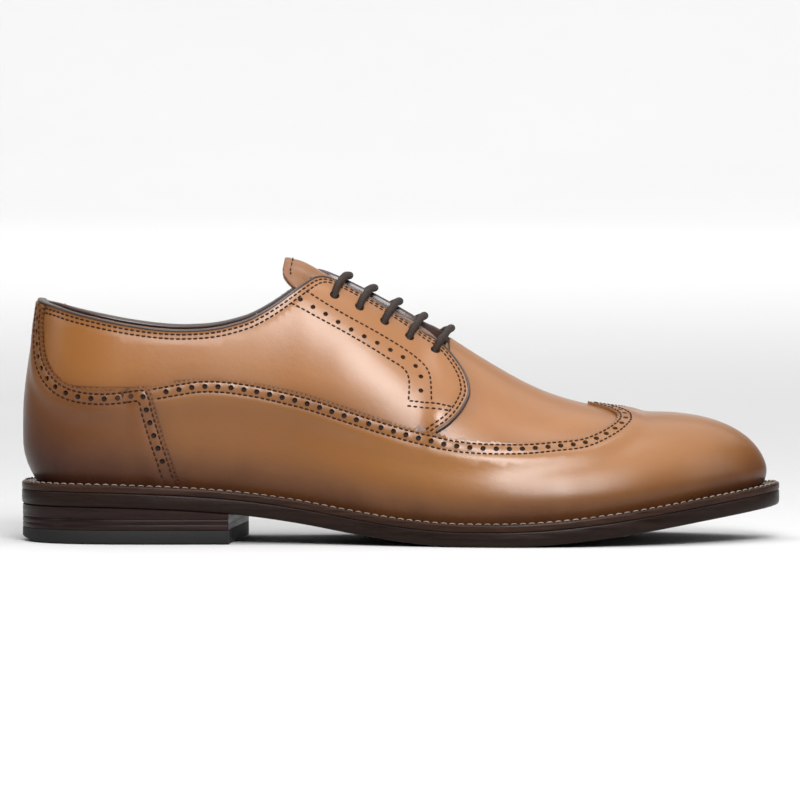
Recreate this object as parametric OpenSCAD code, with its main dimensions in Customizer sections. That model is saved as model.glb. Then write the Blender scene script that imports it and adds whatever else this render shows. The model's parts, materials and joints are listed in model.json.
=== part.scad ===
// Welted leather derby shoe with a wing cap, for the right foot.
// +X points to the toe, +Y to the medial (inner) side, +Z up. The shoe stands on z = 0 and the
// origin is under the middle of its bounding box.
//
// The upper is one last-shaped surface. A point on it has a station a (millimetres from heel to
// toe, wrapping round both ends), an angle phi (0 at the feather line, 90 on the ridge) and a
// side (-1 lateral, 1 medial). Every leather layer is a slice of that surface between two
// offsets, trimmed by seam lines that are drawn in side view (x, z) or in plan (x, y).

/* [Size] */
// Length of the outsole, heel to toe
sole_length = 303.2; // [290:0.1:320]
// Width of the outsole across the ball
ball_width = 105; // [98:1:110]

/* [Bottom] */
// Thickness of the outsole
outsole_t = 5.95; // [5:0.05:6.5]
// Thickness of the welt
welt_t = 3; // [2.5:0.1:3.4]
// Thickness of the insole
insole_t = 3.4; // [3:0.1:4]
// Thickness of the rubber top piece under the heel
top_piece_t = 5.6; // [5:0.1:6]
// Thickness of the lower leather heel lift
lift_t = 4.3; // [4:0.1:4.5]

/* [Upper] */
// Thickness of the outer leather
leather_t = 1.3; // [1.1:0.1:1.3]
// Thickness of the stiffeners and interlinings
inter_t = 1; // [0.8:0.1:1]
// Thickness of the lining leather
lining_t = 0.9; // [0.7:0.1:0.9]
// Width that one piece of leather runs under the next at a seam
lap = 8; // [7:0.5:9]
// Width of the dark binding round the topline and the facings
binding_w = 1.2; // [1:0.1:1.4]

/* [Lacing] */
// Diameter of the lace
lace_d = 3; // [2.6:0.1:3]
// Diameter of the punched lace holes
hole_d = 3.8; // [3.6:0.1:4]
// Number of eyelets on each facing
eyelets = 5; // [5:1:5]

/* [Hidden] */

gap = 0.05;
far = 200;
kx = sole_length / 303.2;
ky = ball_width / 105;
LATERAL = -1;
MEDIAL = 1;

// Offsets of the layers from the skin surface, outside to inside.
raised_hi = leather_t;
raised_lo = gap;
outer_lo = -leather_t;
inter_hi = outer_lo - gap;
inter_lo = inter_hi - inter_t;
lining_hi = inter_lo - gap;
lining_lo = lining_hi - lining_t;

// ---------------------------------------------------------------------------------------------
// The last: curves along its length, as [x, value] at the reference size
// ---------------------------------------------------------------------------------------------
// Height of the feather line, which is the top of the welt
seat_line = [[-152, 23.8], [-120, 23.6], [-100, 23], [-80, 22], [-60, 20.2], [-40, 17.4],
    [-20, 13.8], [0, 10.7], [18, 9.2], [32, 9], [46, 9.2], [60, 10], [80, 12.1], [100, 15],
    [120, 18.2], [140, 21.2], [152, 23]];
// Height of the ridge; behind the tongue it is the closed top that the walls lean towards
ridge_line = [[-152, 118], [-100, 118], [-60, 117], [-41, 112.6], [-30, 107.6], [-20, 103],
    [-10, 98], [0, 92.6], [10, 86.8], [20, 80.6], [30, 74.2], [40, 68.2], [50, 62.7],
    [60, 58.4], [70, 55.3], [80, 53.2], [90, 51.9], [100, 51]];
// Half-width of the body of the shoe where it is widest
half_width = [[-152, 31], [-120, 31], [-100, 31.6], [-80, 31.4], [-60, 31.2], [-40, 32],
    [-20, 34.8], [0, 39.6], [20, 44.8], [40, 48.2], [60, 48.9], [80, 47], [100, 43],
    [120, 37.5], [148, 29]];
// Sideways place of the middle of the sole, and how far the ridge leans from it
centre_line = [[-152, 0], [-100, -0.2], [-60, -1.2], [-20, -3.2], [20, -2.4], [60, -0.5],
    [100, 2.2], [148, 6.5]];
ridge_lean = [[-152, 0], [-80, 0], [-40, 3.5], [0, 6], [40, 5], [80, 2.5], [148, 0]];
// How square the cross-section is: 2 is an ellipse, more is fuller
fullness = [[-152, 2.8], [-60, 2.9], [-25, 3.1], [0, 2.3], [14, 1.95], [40, 1.8], [70, 2],
    [100, 2.4], [148, 2.3]];
// Heel back in side view, as [height over the feather line, x]
heel_back = [[0, -150.7], [12, -151.1], [23, -151.2], [33, -150.9], [45, -149.5],
    [60, -147.1], [72, -145], [96, -141]];
// How far the upper turns in to the feather line, and the height over which it does
turn_in = [[-168, 5], [-112, 4], [-60, 3.5], [0, 2.8], [60, 2.6], [120, 2.4], [167, 2]];
turn_in_arch = [[-110, 0], [-50, 3], [0, 1.2], [30, 0]];
turn_height = [[-168, 16], [-60, 16], [0, 13], [60, 11], [167, 8]];
// How far the welt and outsole stand out past the body of the shoe
welt_margin = [[-168, 0.9], [-112, 2.4], [-60, 1.6], [-30, 1.8], [0, 2.8], [40, 3.6],
    [90, 3.8], [167, 4.4]];

heel_cap_x = -112;
heel_arc = 56;
heel_round = 2.2;
toe_cap_x = 90;
toe_cap_l = 57.2;
toe_arc = 77;
toe_round = 2.2;
toe_top_x = 100;
toe_top_l = toe_cap_x + toe_cap_l - toe_top_x;
toe_top_round = 2.3;
a_heel = heel_cap_x - heel_arc;
a_toe = toe_cap_x + toe_arc;

// Smooth curve through a list of [x, value] points
function clamp(v, lo, hi) = min(hi, max(lo, v));
function steepness(t, i) =
    let (a = max(0, i - 1), b = min(len(t) - 1, i + 1)) (t[b][1] - t[a][1]) / (t[b][0] - t[a][0]);
function span_of(t, x, i = 0) = i >= len(t) - 2 || x < t[i + 1][0] ? i : span_of(t, x, i + 1);
function curve(t, x) =
    let (v = clamp(x, t[0][0], t[len(t) - 1][0]), i = span_of(t, v), w = t[i + 1][0] - t[i][0],
        u = (v - t[i][0]) / w)
    (2 * u ^ 3 - 3 * u ^ 2 + 1) * t[i][1] + (u ^ 3 - 2 * u ^ 2 + u) * w * steepness(t, i)
        + (3 * u ^ 2 - 2 * u ^ 3) * t[i + 1][1] + (u ^ 3 - u ^ 2) * w * steepness(t, i + 1);

function seat(x) = curve(seat_line, x);
function toe_drop(x) =
    x <= toe_top_x ? 1
        : max(0, 1 - ((x - toe_top_x) / toe_top_l) ^ toe_top_round) ^ (1 / toe_top_round);
function ridge_z(x) =
    let (tip = seat(toe_cap_x + toe_cap_l))
    x <= toe_top_x ? curve(ridge_line, x) : tip + (curve(ridge_line, toe_top_x) - tip) * toe_drop(x);
function heel_angle(a) = clamp((heel_cap_x - a) / heel_arc, 0, 1) * 90;
function toe_angle(a) = clamp((a - toe_cap_x) / toe_arc, 0, 1) * 90;
function end_width(a) =
    max(0, 1 - sin(heel_angle(a)) ^ heel_round) ^ (1 / heel_round)
        * max(0, 1 - sin(toe_angle(a)) ^ toe_round) ^ (1 / toe_round);
function outward(a, side) =
    a < heel_cap_x ? [-sin(heel_angle(a)), side * cos(heel_angle(a))]
        : [sin(toe_angle(a)), side * cos(toe_angle(a))];
function turned_in(a, side) = curve(turn_in, a) + (side == MEDIAL ? curve(turn_in_arch, a) : 0);

// A point of the skin surface at the reference size
function skin_point(a, phi, side) =
    let (x0 = a < heel_cap_x ? heel_cap_x + (a - heel_cap_x) * 0.6 : a,
        h0 = a < heel_cap_x ? (curve(ridge_line, x0) - seat(x0)) * sin(phi) : 0,
        x = a < heel_cap_x
            ? heel_cap_x - (heel_cap_x - curve(heel_back, h0)) * sin(heel_angle(a))
            : a > toe_cap_x ? toe_cap_x + toe_cap_l * sin(toe_angle(a)) : a,
        h = a < heel_cap_x ? h0 : (ridge_z(x) - seat(x)) * sin(phi),
        w = curve(half_width, x) * end_width(a) * cos(phi) ^ (2 / curve(fullness, x)),
        tall = curve(turn_height, a),
        in = h < tall ? turned_in(a, side) * (1 - h / tall) ^ 2 : 0,
        dir = outward(a, side))
    [x - dir[0] * in,
        curve(centre_line, x) + curve(ridge_lean, x) * sin(phi) ^ 2 + side * w - dir[1] * in,
        seat(x) + h];

function sized(p) = [p[0] * kx, p[1] * ky, p[2]];
function unit(v) = v / max(1e-9, norm(v));
step_a = 0.4;
step_phi = 0.8;
// Outward normal of the skin surface
function skin_normal(a, phi, side) =
    a > a_toe - step_a ? [1, 0, 0]
        : let (a0 = max(a_heel, a - step_a), a1 = a + step_a,
            f0 = max(0, phi - step_phi), f1 = min(90, phi + step_phi),
            along = skin_point(a1, phi, side) - skin_point(a0, phi, side),
            up = skin_point(a, f1, side) - skin_point(a, f0, side))
        unit(side * cross(up, along));
// A point at an offset from the skin, at the real size
function at(a, phi, side, off) = sized(skin_point(a, phi, side)) + off * skin_normal(a, phi, side);

// ---------------------------------------------------------------------------------------------
// Solids under the skin
// ---------------------------------------------------------------------------------------------
stations = concat([for (i = [0:4]) a_heel + heel_arc * i / 5],
    [for (i = [0:14]) heel_cap_x + (toe_cap_x - heel_cap_x) * i / 15],
    [for (u = [0, 0.17, 0.34, 0.5, 0.66, 0.8, 0.92]) toe_cap_x + toe_arc * u]);
angles = [0, 8, 17, 29, 43, 57, 69, 80, 90];
cols = 2 * len(angles) + 1;
mid_col = len(angles);
depth = 10;

function column(a, j) =
    let (side = j <= mid_col ? LATERAL : MEDIAL,
        k = j <= mid_col ? max(0, j - 1) : max(0, cols - 2 - j))
    [a, angles[k], side];
skin_rows = [for (i = [1:len(stations) - 1]) [for (j = [0:cols - 1]) column(stations[i], j)]];

// Closed solid of everything inside the skin moved out by off, down to below the seat line
module body(off) {
    last = len(stations);
    drop = [0, 0, -depth];
    function lifted(c, j) = at(c[0], c[1], c[2], off) + (j == 0 || j == cols - 1 ? drop : [0, 0, 0]);
    heel = [for (j = [0:mid_col]) lifted(column(a_heel, j), j)];
    rows = [for (r = skin_rows) for (j = [0:cols - 1]) lifted(r[j], j)];
    tip = at(a_toe, 0, LATERAL, off);
    points = concat(heel, rows, [tip, tip + drop]);
    function id(i, j) =
        i == 0 ? (j <= mid_col ? j : cols - 1 - j)
            : i == last ? len(points) - (j == 0 || j == cols - 1 ? 1 : 2)
            : len(heel) + (i - 1) * cols + j;
    quads = [for (i = [0:last - 1]) for (j = [0:cols - 1])
        let (k = (j + 1) % cols) [id(i, j), id(i, k), id(i + 1, k), id(i + 1, j)]];
    faces = [for (q = quads) for (t = [[q[0], q[1], q[2]], [q[0], q[2], q[3]]])
        if (t[0] != t[1] && t[1] != t[2] && t[0] != t[2]) t];
    polyhedron(points, faces, convexity = 6);
}

// Prisms that trim the layers: a side-view outline runs across the shoe, a plan outline runs up
module across(side = 0) {
    lo = side == MEDIAL ? 0 : -far;
    hi = side == LATERAL ? 0 : far;
    translate([0, hi, 0]) rotate([90, 0, 0]) linear_extrude(hi - lo) scale([kx, 1]) children();
}
module upright() {
    translate([0, 0, -far]) linear_extrude(2 * far) scale([kx, ky]) children();
}
module above_seat(clear = 0) {
    across() polygon(concat([for (x = [-176:16:176]) [x, seat(x) + clear]], [[180, far], [-180, far]]));
}
// The centre plane bends with the last, so the two halves of the upper part along this strip
module half(side) {
    edge = [for (x = [-160:8:160]) [x, curve(centre_line, x) + curve(ridge_lean, x)]];
    upright() polygon(concat(edge, [[160, side * far], [-160, side * far]]));
}
// A layer of the upper between two offsets
module layer(lo, hi) {
    intersection() {
        difference() {
            body(hi);
            body(lo);
        }
        above_seat(gap);
        children();
    }
}
// Curved leather is kept as one mesh; resizing to nothing changes no size
module one_mesh() {
    resize([0, 0, 0]) union() children();
}

// ---------------------------------------------------------------------------------------------
// Seam lines. Each zone is the ground behind or below a seam, grown by d.
// ---------------------------------------------------------------------------------------------
topline = [[-152, 98.4], [-145, 96.4], [-138, 94.4], [-130, 92], [-120, 89.6], [-110, 87.6],
    [-100, 86.1], [-90, 85.3], [-82, 85.4], [-75, 86], [-68, 87.4], [-60, 90], [-52, 94.4],
    [-45, 99.4], [-38, 104.4], [-33, 107], [-29, 108.6]];
module below_topline(d = 0) {
    across() offset(delta = d) polygon(concat([[-far, 104]], topline,
        [[-24, 114], [-10, 128], [far, 128], [far, -far], [-far, -far]]));
}
// The ground in front of the facings: throat gap in plan, front edge in side view
throat_half = [[-70, 9], [0, 9], [10, 10.2], [17, 12.6], [22, 16.6], [25.5, 21], [27.1, 27], [27.5, 34]];
throat_y = -0.4;
front_edge = [[27.6, 70], [27.5, 62.3], [26.6, 57.4], [23.6, 52.4], [19, 47.8], [13.5, 44.2],
    [8, 40]];
module before_facings(d = 0) {
    n = len(throat_half) - 1;
    upright() offset(r = d) translate([0, throat_y]) polygon(concat(
        [for (p = throat_half) [p[0], -p[1]]], [[far, -34], [far, 34]],
        [for (i = [n:-1:0]) throat_half[i]]));
    across() offset(r = d) polygon(concat(front_edge, [[8, -far], [far, -far], [far, 70]]));
}
// Wing edge in side view, and its heart-shaped front end in plan
wing_edge = [[-100, 63.2], [-90, 64.8], [-80, 66.2], [-70, 66], [-60, 64.7], [-50, 62.7],
    [-40, 60.4], [-30, 57.5], [-20, 54.2], [-10, 51], [0, 48], [10, 45.3], [20, 43], [30, 41.7],
    [40, 41.1], [50, 40.9], [60, 41.2], [70, 42.8], [76, 44.4]];
wing_plan = [[38, 43], [48, 41], [60, 38.4], [70, 34.6], [76, 31.4], [81, 27.4], [84, 23.4],
    [85.8, 19.4], [86, 16], [84.6, 11.6], [81.6, 7], [78, 3.2], [74, 0]];
wing_y = 1.8;
module in_wing(d = 0) {
    n = len(wing_plan) - 1;
    across() offset(delta = d)
        polygon(concat([[-far, 63.2]], wing_edge, [[84, 30], [far, 30], [far, -far], [-far, -far]]));
    upright() offset(delta = d) translate([0, wing_y]) polygon(concat(
        [[38, -far]], [for (p = wing_plan) [p[0], -p[1]]], [for (i = [n - 1:-1:0]) wing_plan[i]],
        [[38, far], [far, far], [far, -far]]));
}
counter_edge = [[-141, 99], [-142, 93], [-142.4, 88], [-142.2, 81], [-141.4, 75], [-139.6, 70.4],
    [-136.5, 66.4], [-132, 63.4], [-126, 61.8], [-118, 61.3], [-110, 62], [-100.5, 63.2],
    [-98.8, 59.4], [-97, 52.2], [-94, 42.2], [-91.2, 34], [-88, 24.3], [-85, 15]];
module in_counter(d = 0) {
    across() offset(delta = d) polygon(concat([[-far, 99]], counter_edge, [[-85, -far], [-far, -far]]));
}
module stiffener_zone(d = 0) {
    across() offset(delta = d) polygon([[-far, 84], [-146, 82], [-132, 76], [-112, 62],
        [-94, 44], [-82, 30], [-76, 10], [-far, 10]]);
}
module toe_zone(d = 0) {
    upright() translate([98 - d, -far]) square([far, 2 * far]);
}
module facing_zone(d = 0) {
    across() offset(delta = d) polygon([[-52, 130], [-46, 97], [-30, 88], [-10, 76], [1, 69],
        [3.2, 62], [2, 52], [1, 40], [40, 40], [40, 130]]);
}
step_w = leather_t;
clear = 0.4;
fit = 0.3;

// Ground of the quarters: below the topline binding and behind the facing binding
module quarter_ground(side) {
    difference() {
        intersection() {
            half(side);
            below_topline(-binding_w - gap);
        }
        before_facings(binding_w + gap);
    }
}
// Where the vamp runs under the facings, grown by d
module under_facings(d) {
    intersection() {
        before_facings(lap + d);
        upright() translate([15 - d, -far]) square([far, 2 * far]);
    }
}
// Where a wing's end slips under the counter cover with nothing below it
module wing_under_counter(d) {
    intersection() {
        in_wing(d);
        in_counter(clear + step_w + d);
    }
}

// ---------------------------------------------------------------------------------------------
// Upper
// ---------------------------------------------------------------------------------------------
module vamp() color("#9a5a35") one_mesh() layer(outer_lo, 0) difference() {
    union() {
        intersection() {
            before_facings(-gap);
            upright() translate([15, -far]) square([far, 2 * far]);
        }
        difference() {
            under_facings(0);
            in_wing(clear + step_w + fit);
        }
    }
    in_wing(-lap);
}

// Leather that laps over its neighbours: child 0 is its ground, child 1 where it is raised with
// the neighbour under it, child 2 where it lies at the level of the skin
module lapped() {
    difference() {
        intersection() {
            body(raised_hi);
            above_seat(gap);
            children(0);
        }
        body(outer_lo);
        intersection() {
            body(raised_lo);
            children(1);
        }
        difference() {
            children(2);
            body(0);
        }
    }
}

module wing_cap() color("#94532f") one_mesh() lapped() {
    difference() {
        in_wing(0);
        in_counter(-lap);
    }
    difference() {
        in_wing(1);
        in_wing(-lap - clear);
        in_counter(clear + step_w);
    }
    union() {
        in_wing(-lap - clear - step_w);
        in_counter(clear);
    }
}

module quarter(side) color("#9d5c37") one_mesh() difference() {
    lapped() {
        difference() {
            quarter_ground(side);
            in_wing(-lap);
            in_counter(-lap);
            wing_under_counter(fit);
        }
        difference() {
            under_facings(clear);
            in_wing(clear + step_w);
        }
        difference() {
            cube(6 * far, center = true);
            difference() {
                under_facings(clear + step_w);
                in_wing(clear);
            }
        }
    }
    lace_holes(side, hole_d);
}
module quarter_lateral() quarter(LATERAL);
module quarter_medial() quarter(MEDIAL);

module counter_cover() color("#8a4b2b") one_mesh() lapped() {
    intersection() {
        in_counter(0);
        below_topline(-binding_w - gap);
    }
    difference() {
        in_counter(1);
        in_counter(-lap - clear);
    }
    in_counter(-lap - clear - step_w);
}

// Folded strip that covers the cut edges, from one throat corner round the heel to the other
binding_lip = 0.35;
module front_of(x) {
    upright() translate([x, -far]) square([far, 2 * far]);
}
module topline_binding() color("#3f2418") one_mesh() difference() {
    intersection() {
        body(raised_hi + binding_lip);
        above_seat(gap);
        union() {
            facing_rim();
            difference() {
                below_topline(0);
                below_topline(-binding_w);
                before_facings(0);
            }
        }
    }
    body(lining_lo);
    difference() {
        cube(6 * far, center = true);
        body(binding_lip);
        in_counter(1);
        front_of(13.4);
    }
    intersection() {
        body(raised_lo);
        front_of(14.6);
    }
    intersection() {
        in_wing(clear);
        front_of(0);
    }
}
module facing_rim() {
    difference() {
        intersection() {
            before_facings(binding_w);
            below_topline(0);
        }
        before_facings(0);
    }
}

// ---------------------------------------------------------------------------------------------
// Inside layers of the upper
// ---------------------------------------------------------------------------------------------
module vamp_lining() color("#c8a57c") one_mesh() layer(lining_lo, lining_hi)
    upright() translate([19.5, -far]) square([far, 2 * far]);

module quarter_lining(side) color("#c8a57c") one_mesh() difference() {
    layer(lining_lo, lining_hi) intersection() {
        quarter_ground(side);
        upright() translate([-far, -far]) square([far + 19.4, 2 * far]);
    }
    lace_holes(side, ring_d + 0.6);
}
module quarter_lining_lateral() quarter_lining(LATERAL);
module quarter_lining_medial() quarter_lining(MEDIAL);

module vamp_interlining() color("#d9d2c0") one_mesh() layer(inter_lo, inter_hi) difference() {
    upright() translate([19.5, -far]) square([far, 2 * far]);
    toe_zone(gap);
}
module toe_puff() color("#b9b0a0") one_mesh() layer(inter_lo, inter_hi) toe_zone();
module heel_stiffener() color("#b39a78") one_mesh() layer(inter_lo, inter_hi) stiffener_zone();
module interlining(side) color("#d9d2c0") one_mesh() layer(inter_lo, inter_hi) difference() {
    intersection() {
        quarter_ground(side);
        upright() translate([-far, -far]) square([far + 19.4, 2 * far]);
    }
    stiffener_zone(gap);
    facing_zone(gap);
}
module interlining_lateral() interlining(LATERAL);
module interlining_medial() interlining(MEDIAL);
module facing_stay(side) color("#cfc4ac") one_mesh() difference() {
    layer(inter_lo, inter_hi) intersection() {
        quarter_ground(side);
        facing_zone();
        upright() translate([-far, -far]) square([far + 19.4, 2 * far]);
    }
    lace_holes(side, ring_d + 0.6);
}
module facing_stay_lateral() facing_stay(LATERAL);
module facing_stay_medial() facing_stay(MEDIAL);

// ---------------------------------------------------------------------------------------------
// Tongue, eyelets and lace
// ---------------------------------------------------------------------------------------------
ring_d = 6.4;
function eyelet_x(i) = 13.4 - i * 9.95;
eyelet_y = 17.2;
function ridge_y(x) = curve(centre_line, x) + curve(ridge_lean, x);
// The angle at which the skin of station x is y away from the ridge plane
function phi_at(x, y, tries = 6, phi = 70) =
    tries == 0 ? phi
        : let (off = abs(y - curve(centre_line, x) - curve(ridge_lean, x) * sin(phi) ^ 2),
            c = min(1, off / (curve(half_width, x) * end_width(x))))
        phi_at(x, y, tries - 1, acos(c ^ (curve(fullness, x) / 2)));
function side_of(x, y) = y < ridge_y(x) ? LATERAL : MEDIAL;
// A point over plan position (x, y) on the top of the last, at an offset from the skin
function over(x, y, off) = at(x, phi_at(x, y), side_of(x, y), off);
function over_normal(x, y) = skin_normal(x, phi_at(x, y), side_of(x, y));

module lace_holes(side, d) {
    for (i = [0:eyelets - 1]) {
        y = throat_y + side * eyelet_y;
        n = over_normal(eyelet_x(i), y);
        translate(over(eyelet_x(i), y, 0))
            rotate([0, acos(n[2]), atan2(n[1], n[0])])
            cylinder(h = 14, r = d / 2, center = true, $fn = 16);
    }
}
module eyelet_rings(side) color("#b08d4a") {
    for (i = [0:eyelets - 1]) {
        y = throat_y + side * eyelet_y;
        n = over_normal(eyelet_x(i), y);
        translate(over(eyelet_x(i), y, 0))
            rotate([0, acos(n[2]), atan2(n[1], n[0])])
            translate([0, 0, lining_lo]) difference() {
                cylinder(h = 0.6, r = ring_d / 2, $fn = 32);
                translate([0, 0, -1]) cylinder(h = 3, r = hole_d / 2, $fn = 32);
            }
    }
}
module eyelets_lateral() eyelet_rings(LATERAL);
module eyelets_medial() eyelet_rings(MEDIAL);

// Closed sheet between two grids of points with the same rows and columns
module sheet_between(top, under) {
    m = len(top);
    n = len(top[0]);
    points = concat([for (r = top) for (p = r) p], [for (r = under) for (p = r) p]);
    function id(l, i, j) = l * m * n + i * n + j;
    skins = [for (l = [0, 1]) for (i = [0:m - 2]) for (j = [0:n - 2])
        let (q = [id(l, i, j), id(l, i, j + 1), id(l, i + 1, j + 1), id(l, i + 1, j)])
        l == 0 ? q : [q[0], q[3], q[2], q[1]]];
    edge = concat([for (j = [0:n - 2]) [0, j]], [for (i = [0:m - 2]) [i, n - 1]],
        [for (j = [n - 1:-1:1]) [m - 1, j]], [for (i = [m - 1:-1:1]) [i, 0]]);
    walls = [for (k = [0:len(edge) - 1]) let (e = edge[k], f = edge[(k + 1) % len(edge)])
        [id(0, f[0], f[1]), id(0, e[0], e[1]), id(1, e[0], e[1]), id(1, f[0], f[1])]];
    faces = [for (q = concat(skins, walls)) for (t = [[q[0], q[1], q[2]], [q[0], q[2], q[3]]]) t];
    polyhedron(points, faces, convexity = 6);
}
tongue_t = 1.5;
tongue_rows = [18.4, 13, 7, 1, -6, -13, -20, -26, -31, -36, -40, -43.5, -46];
tongue_cols = [-1, -0.84, -0.68, -0.52, -0.36, -0.2, 0, 0.2, 0.36, 0.52, 0.68, 0.84, 1];
tongue_half = [[-46, 13.6], [-44.6, 16.4], [-42, 18.2], [-36, 19], [-20, 18.5], [18.4, 17.5]];
// The tongue crowns between the facings and sinks under the crossing laces
tongue_crown = [[-46, -0.9], [-38, -0.7], [-28, -1.4], [-20, -2.3], [12, -2.4], [18.4, -3.8]];
tongue_flank = [[-46, -4.3], [-38, -5], [-30, -7.2], [12, -7.2], [18.4, -5.2]];
function tongue_off(x, y) =
    let (u = clamp((abs(y) - 4.5) / 5.5, 0, 1), s = 3 * u ^ 2 - 2 * u ^ 3)
    curve(tongue_crown, x) * (1 - s) + curve(tongue_flank, x) * s;
function tongue_grid(drop) = [for (x = tongue_rows) [for (t = tongue_cols)
    let (y = t * curve(tongue_half, x)) over(x, throat_y + y + 1.2, tongue_off(x, y) - drop)]];
module tongue() color("#8f5331") sheet_between(tongue_grid(0), tongue_grid(tongue_t));
module tongue_lining() color("#c8a57c")
    sheet_between(tongue_grid(tongue_t + 0.35), tongue_grid(tongue_t + 1.15));

// Round cord through a list of points
function frames(p, u, i = 0, out = []) =
    i >= len(p) ? out
        : let (t = unit(p[min(len(p) - 1, i + 1)] - p[max(0, i - 1)]), v = unit(u - (u * t) * t))
        frames(p, v, i + 1, concat(out, [[v, cross(t, v)]]));
module cord(p, d, start, sides = 8) {
    f = frames(p, start);
    points = [for (i = [0:len(p) - 1]) for (k = [0:sides - 1])
        p[i] + d / 2 * (cos(360 * k / sides) * f[i][0] + sin(360 * k / sides) * f[i][1])];
    quads = [for (i = [0:len(p) - 2]) for (k = [0:sides - 1]) let (m = (k + 1) % sides)
        [i * sides + k, (i + 1) * sides + k, (i + 1) * sides + m, i * sides + m]];
    last = (len(p) - 1) * sides;
    polyhedron(points, concat([[for (k = [0:sides - 1]) k]],
        [for (q = quads) for (t = [[q[0], q[1], q[2]], [q[0], q[2], q[3]]]) t],
        [[for (k = [sides - 1:-1:0]) last + k]]), convexity = 10);
}
lace_under = -5.1;
lace_over = 2.1;
// How far a bar leans towards the toe on its way over the sloping instep
bar_lean = [[-11, 2], [-6, 3.2], [0, 4.4], [6, 5], [11, 4.3]];
// The lowest bar lies over the facings where they are raised on the vamp
function bar_off(i) = lace_over + (i == 0 ? 1.4 : 0);
// One bar over the facings from side s to the other at row i, with its dives into the eyelets
function dive(i, s, out) =
    let (x = eyelet_x(i), y = eyelet_y,
        steps = [over(x - 0.6, throat_y + s * (y + 2.6), lace_under),
            over(x, throat_y + s * y, -1.4),
            over(x + (s == MEDIAL ? 2.6 : 0.6), throat_y + s * (y - 2.6), bar_off(i))])
    out ? steps : [steps[2], steps[1], steps[0]];
function bar(i, s) = concat(dive(i, s, true),
    [for (y = [11, 6, 0, -6, -11]) over(eyelet_x(i) + curve(bar_lean, s * y),
        throat_y + s * y, bar_off(i))],
    dive(i, -s, false));
function under(i, j, s, lane) = [for (k = [i + (j > i ? 0.45 : -0.45), (i + j) / 2,
    j + (j > i ? -0.45 : 0.45)]) over(eyelet_x(k), throat_y + s * (eyelet_y + lane), lace_under)];
// A tail from the top eyelet down the inside wall and back along the sock
function tail(s) = concat(
    [at(-31, 52, s, -5.3), at(-37, 40, s, -5.3), at(-43, 29, s, -5.4), at(-50, 20, s, -6),
        at(-58, 14, s, -8)],
    [for (p = [[-70, 15], [-84, 10.5], [-98, 9], [-110, 11], [-120, 9]])
        [p[0] * kx, s * p[1] * ky, seat(p[0]) + insole_t + 1.1 + lace_d / 2 + 0.25]]);
function reversed(p) = [for (i = [len(p) - 1:-1:0]) p[i]];
// Rows count from the throat up. Straight bars show on top; the runs between rows are inside.
lace_path = concat(reversed(tail(MEDIAL)), bar(3, MEDIAL), under(3, 1, LATERAL, 10),
    bar(1, LATERAL), under(1, 0, MEDIAL, 3.4), bar(0, MEDIAL), under(0, 2, LATERAL, 6.6),
    bar(2, LATERAL), under(2, 4, MEDIAL, 6.6), bar(4, MEDIAL), tail(LATERAL));
module lace() color("#2b1a14") cord(lace_path, lace_d, [0, 0, 1]);
aglet_l = 18;
module aglets() color("#3a2a22") {
    for (e = [0, 1]) {
        p = e == 0 ? lace_path[0] : lace_path[len(lace_path) - 1];
        q = e == 0 ? lace_path[1] : lace_path[len(lace_path) - 2];
        n = unit(p - q);
        translate(p + gap * n) rotate([0, acos(n[2]), atan2(n[1], n[0])])
            cylinder(h = aglet_l, r = 1.3, $fn = 24);
    }
}

// ---------------------------------------------------------------------------------------------
// Bottom
// ---------------------------------------------------------------------------------------------
rim_a = concat([for (i = [0:6]) a_heel + heel_arc * i / 6],
    [for (i = [1:11]) heel_cap_x + (toe_cap_x - heel_cap_x) * i / 11],
    [for (i = [1:8]) toe_cap_x + toe_arc * i / 8]);
function edge_point(a, side, m) =
    let (p = skin_point(a, 0, side), d = outward(a, side),
        g = turned_in(a, side) + curve(welt_margin, a) + m)
    [(p[0] + d[0] * g) * kx, (p[1] + d[1] * g) * ky];
function feather_point(a, side, m) =
    let (p = skin_point(a, 0, side), d = outward(a, side))
    [(p[0] + d[0] * m) * kx, (p[1] + d[1] * m) * ky];
function inner(list) = [for (i = [1:len(list) - 2]) list[i]];
module edge_plan(m = 0) {
    polygon(concat([for (a = rim_a) edge_point(a, LATERAL, m)],
        reversed([for (a = inner(rim_a)) edge_point(a, MEDIAL, m)])));
}
module feather_plan(m = 0) {
    polygon(concat([for (a = rim_a) feather_point(a, LATERAL, m)],
        reversed([for (a = inner(rim_a)) feather_point(a, MEDIAL, m)])));
}
module pillar() {
    translate([0, 0, -far]) linear_extrude(2 * far) children();
}
// Slab that follows the seat line between two heights over it
module slab(lo, hi) {
    xs = [for (x = [-160:16:160]) x];
    across() polygon(concat([for (x = xs) [x, seat(x) + lo]],
        reversed([for (x = xs) [x, seat(x) + hi]])));
}
sole_top = -welt_t - gap;
sole_low = -welt_t - outsole_t;

module welt() color("#4a3226") one_mesh() intersection() {
    slab(-welt_t, 0);
    pillar() difference() {
        edge_plan();
        feather_plan(-3);
    }
}
module welt_stitching() color("#b9ab93") one_mesh() intersection() {
    slab(gap, 0.55);
    pillar() difference() {
        edge_plan(-1.1);
        edge_plan(-1.8);
    }
}
module outsole() color("#54382a") one_mesh() intersection() {
    slab(sole_low, sole_top);
    pillar() edge_plan();
}
module insole_rib() color("#cdbb98") one_mesh() intersection() {
    slab(-welt_t, -gap);
    pillar() difference() {
        feather_plan(-3.2);
        feather_plan(-5.6);
    }
}
module cork_filler() color("#a87c4f") one_mesh() intersection() {
    slab(-welt_t, -gap);
    pillar() difference() {
        feather_plan(-5.8);
        shank_plan(0.3);
    }
}
module shank_plan(d = 0) {
    offset(r = d) hull() {
        translate([-104, -0.5]) circle(r = 6.5, $fn = 16);
        translate([-14, -2.5]) circle(r = 6.5, $fn = 16);
    }
}
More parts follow.
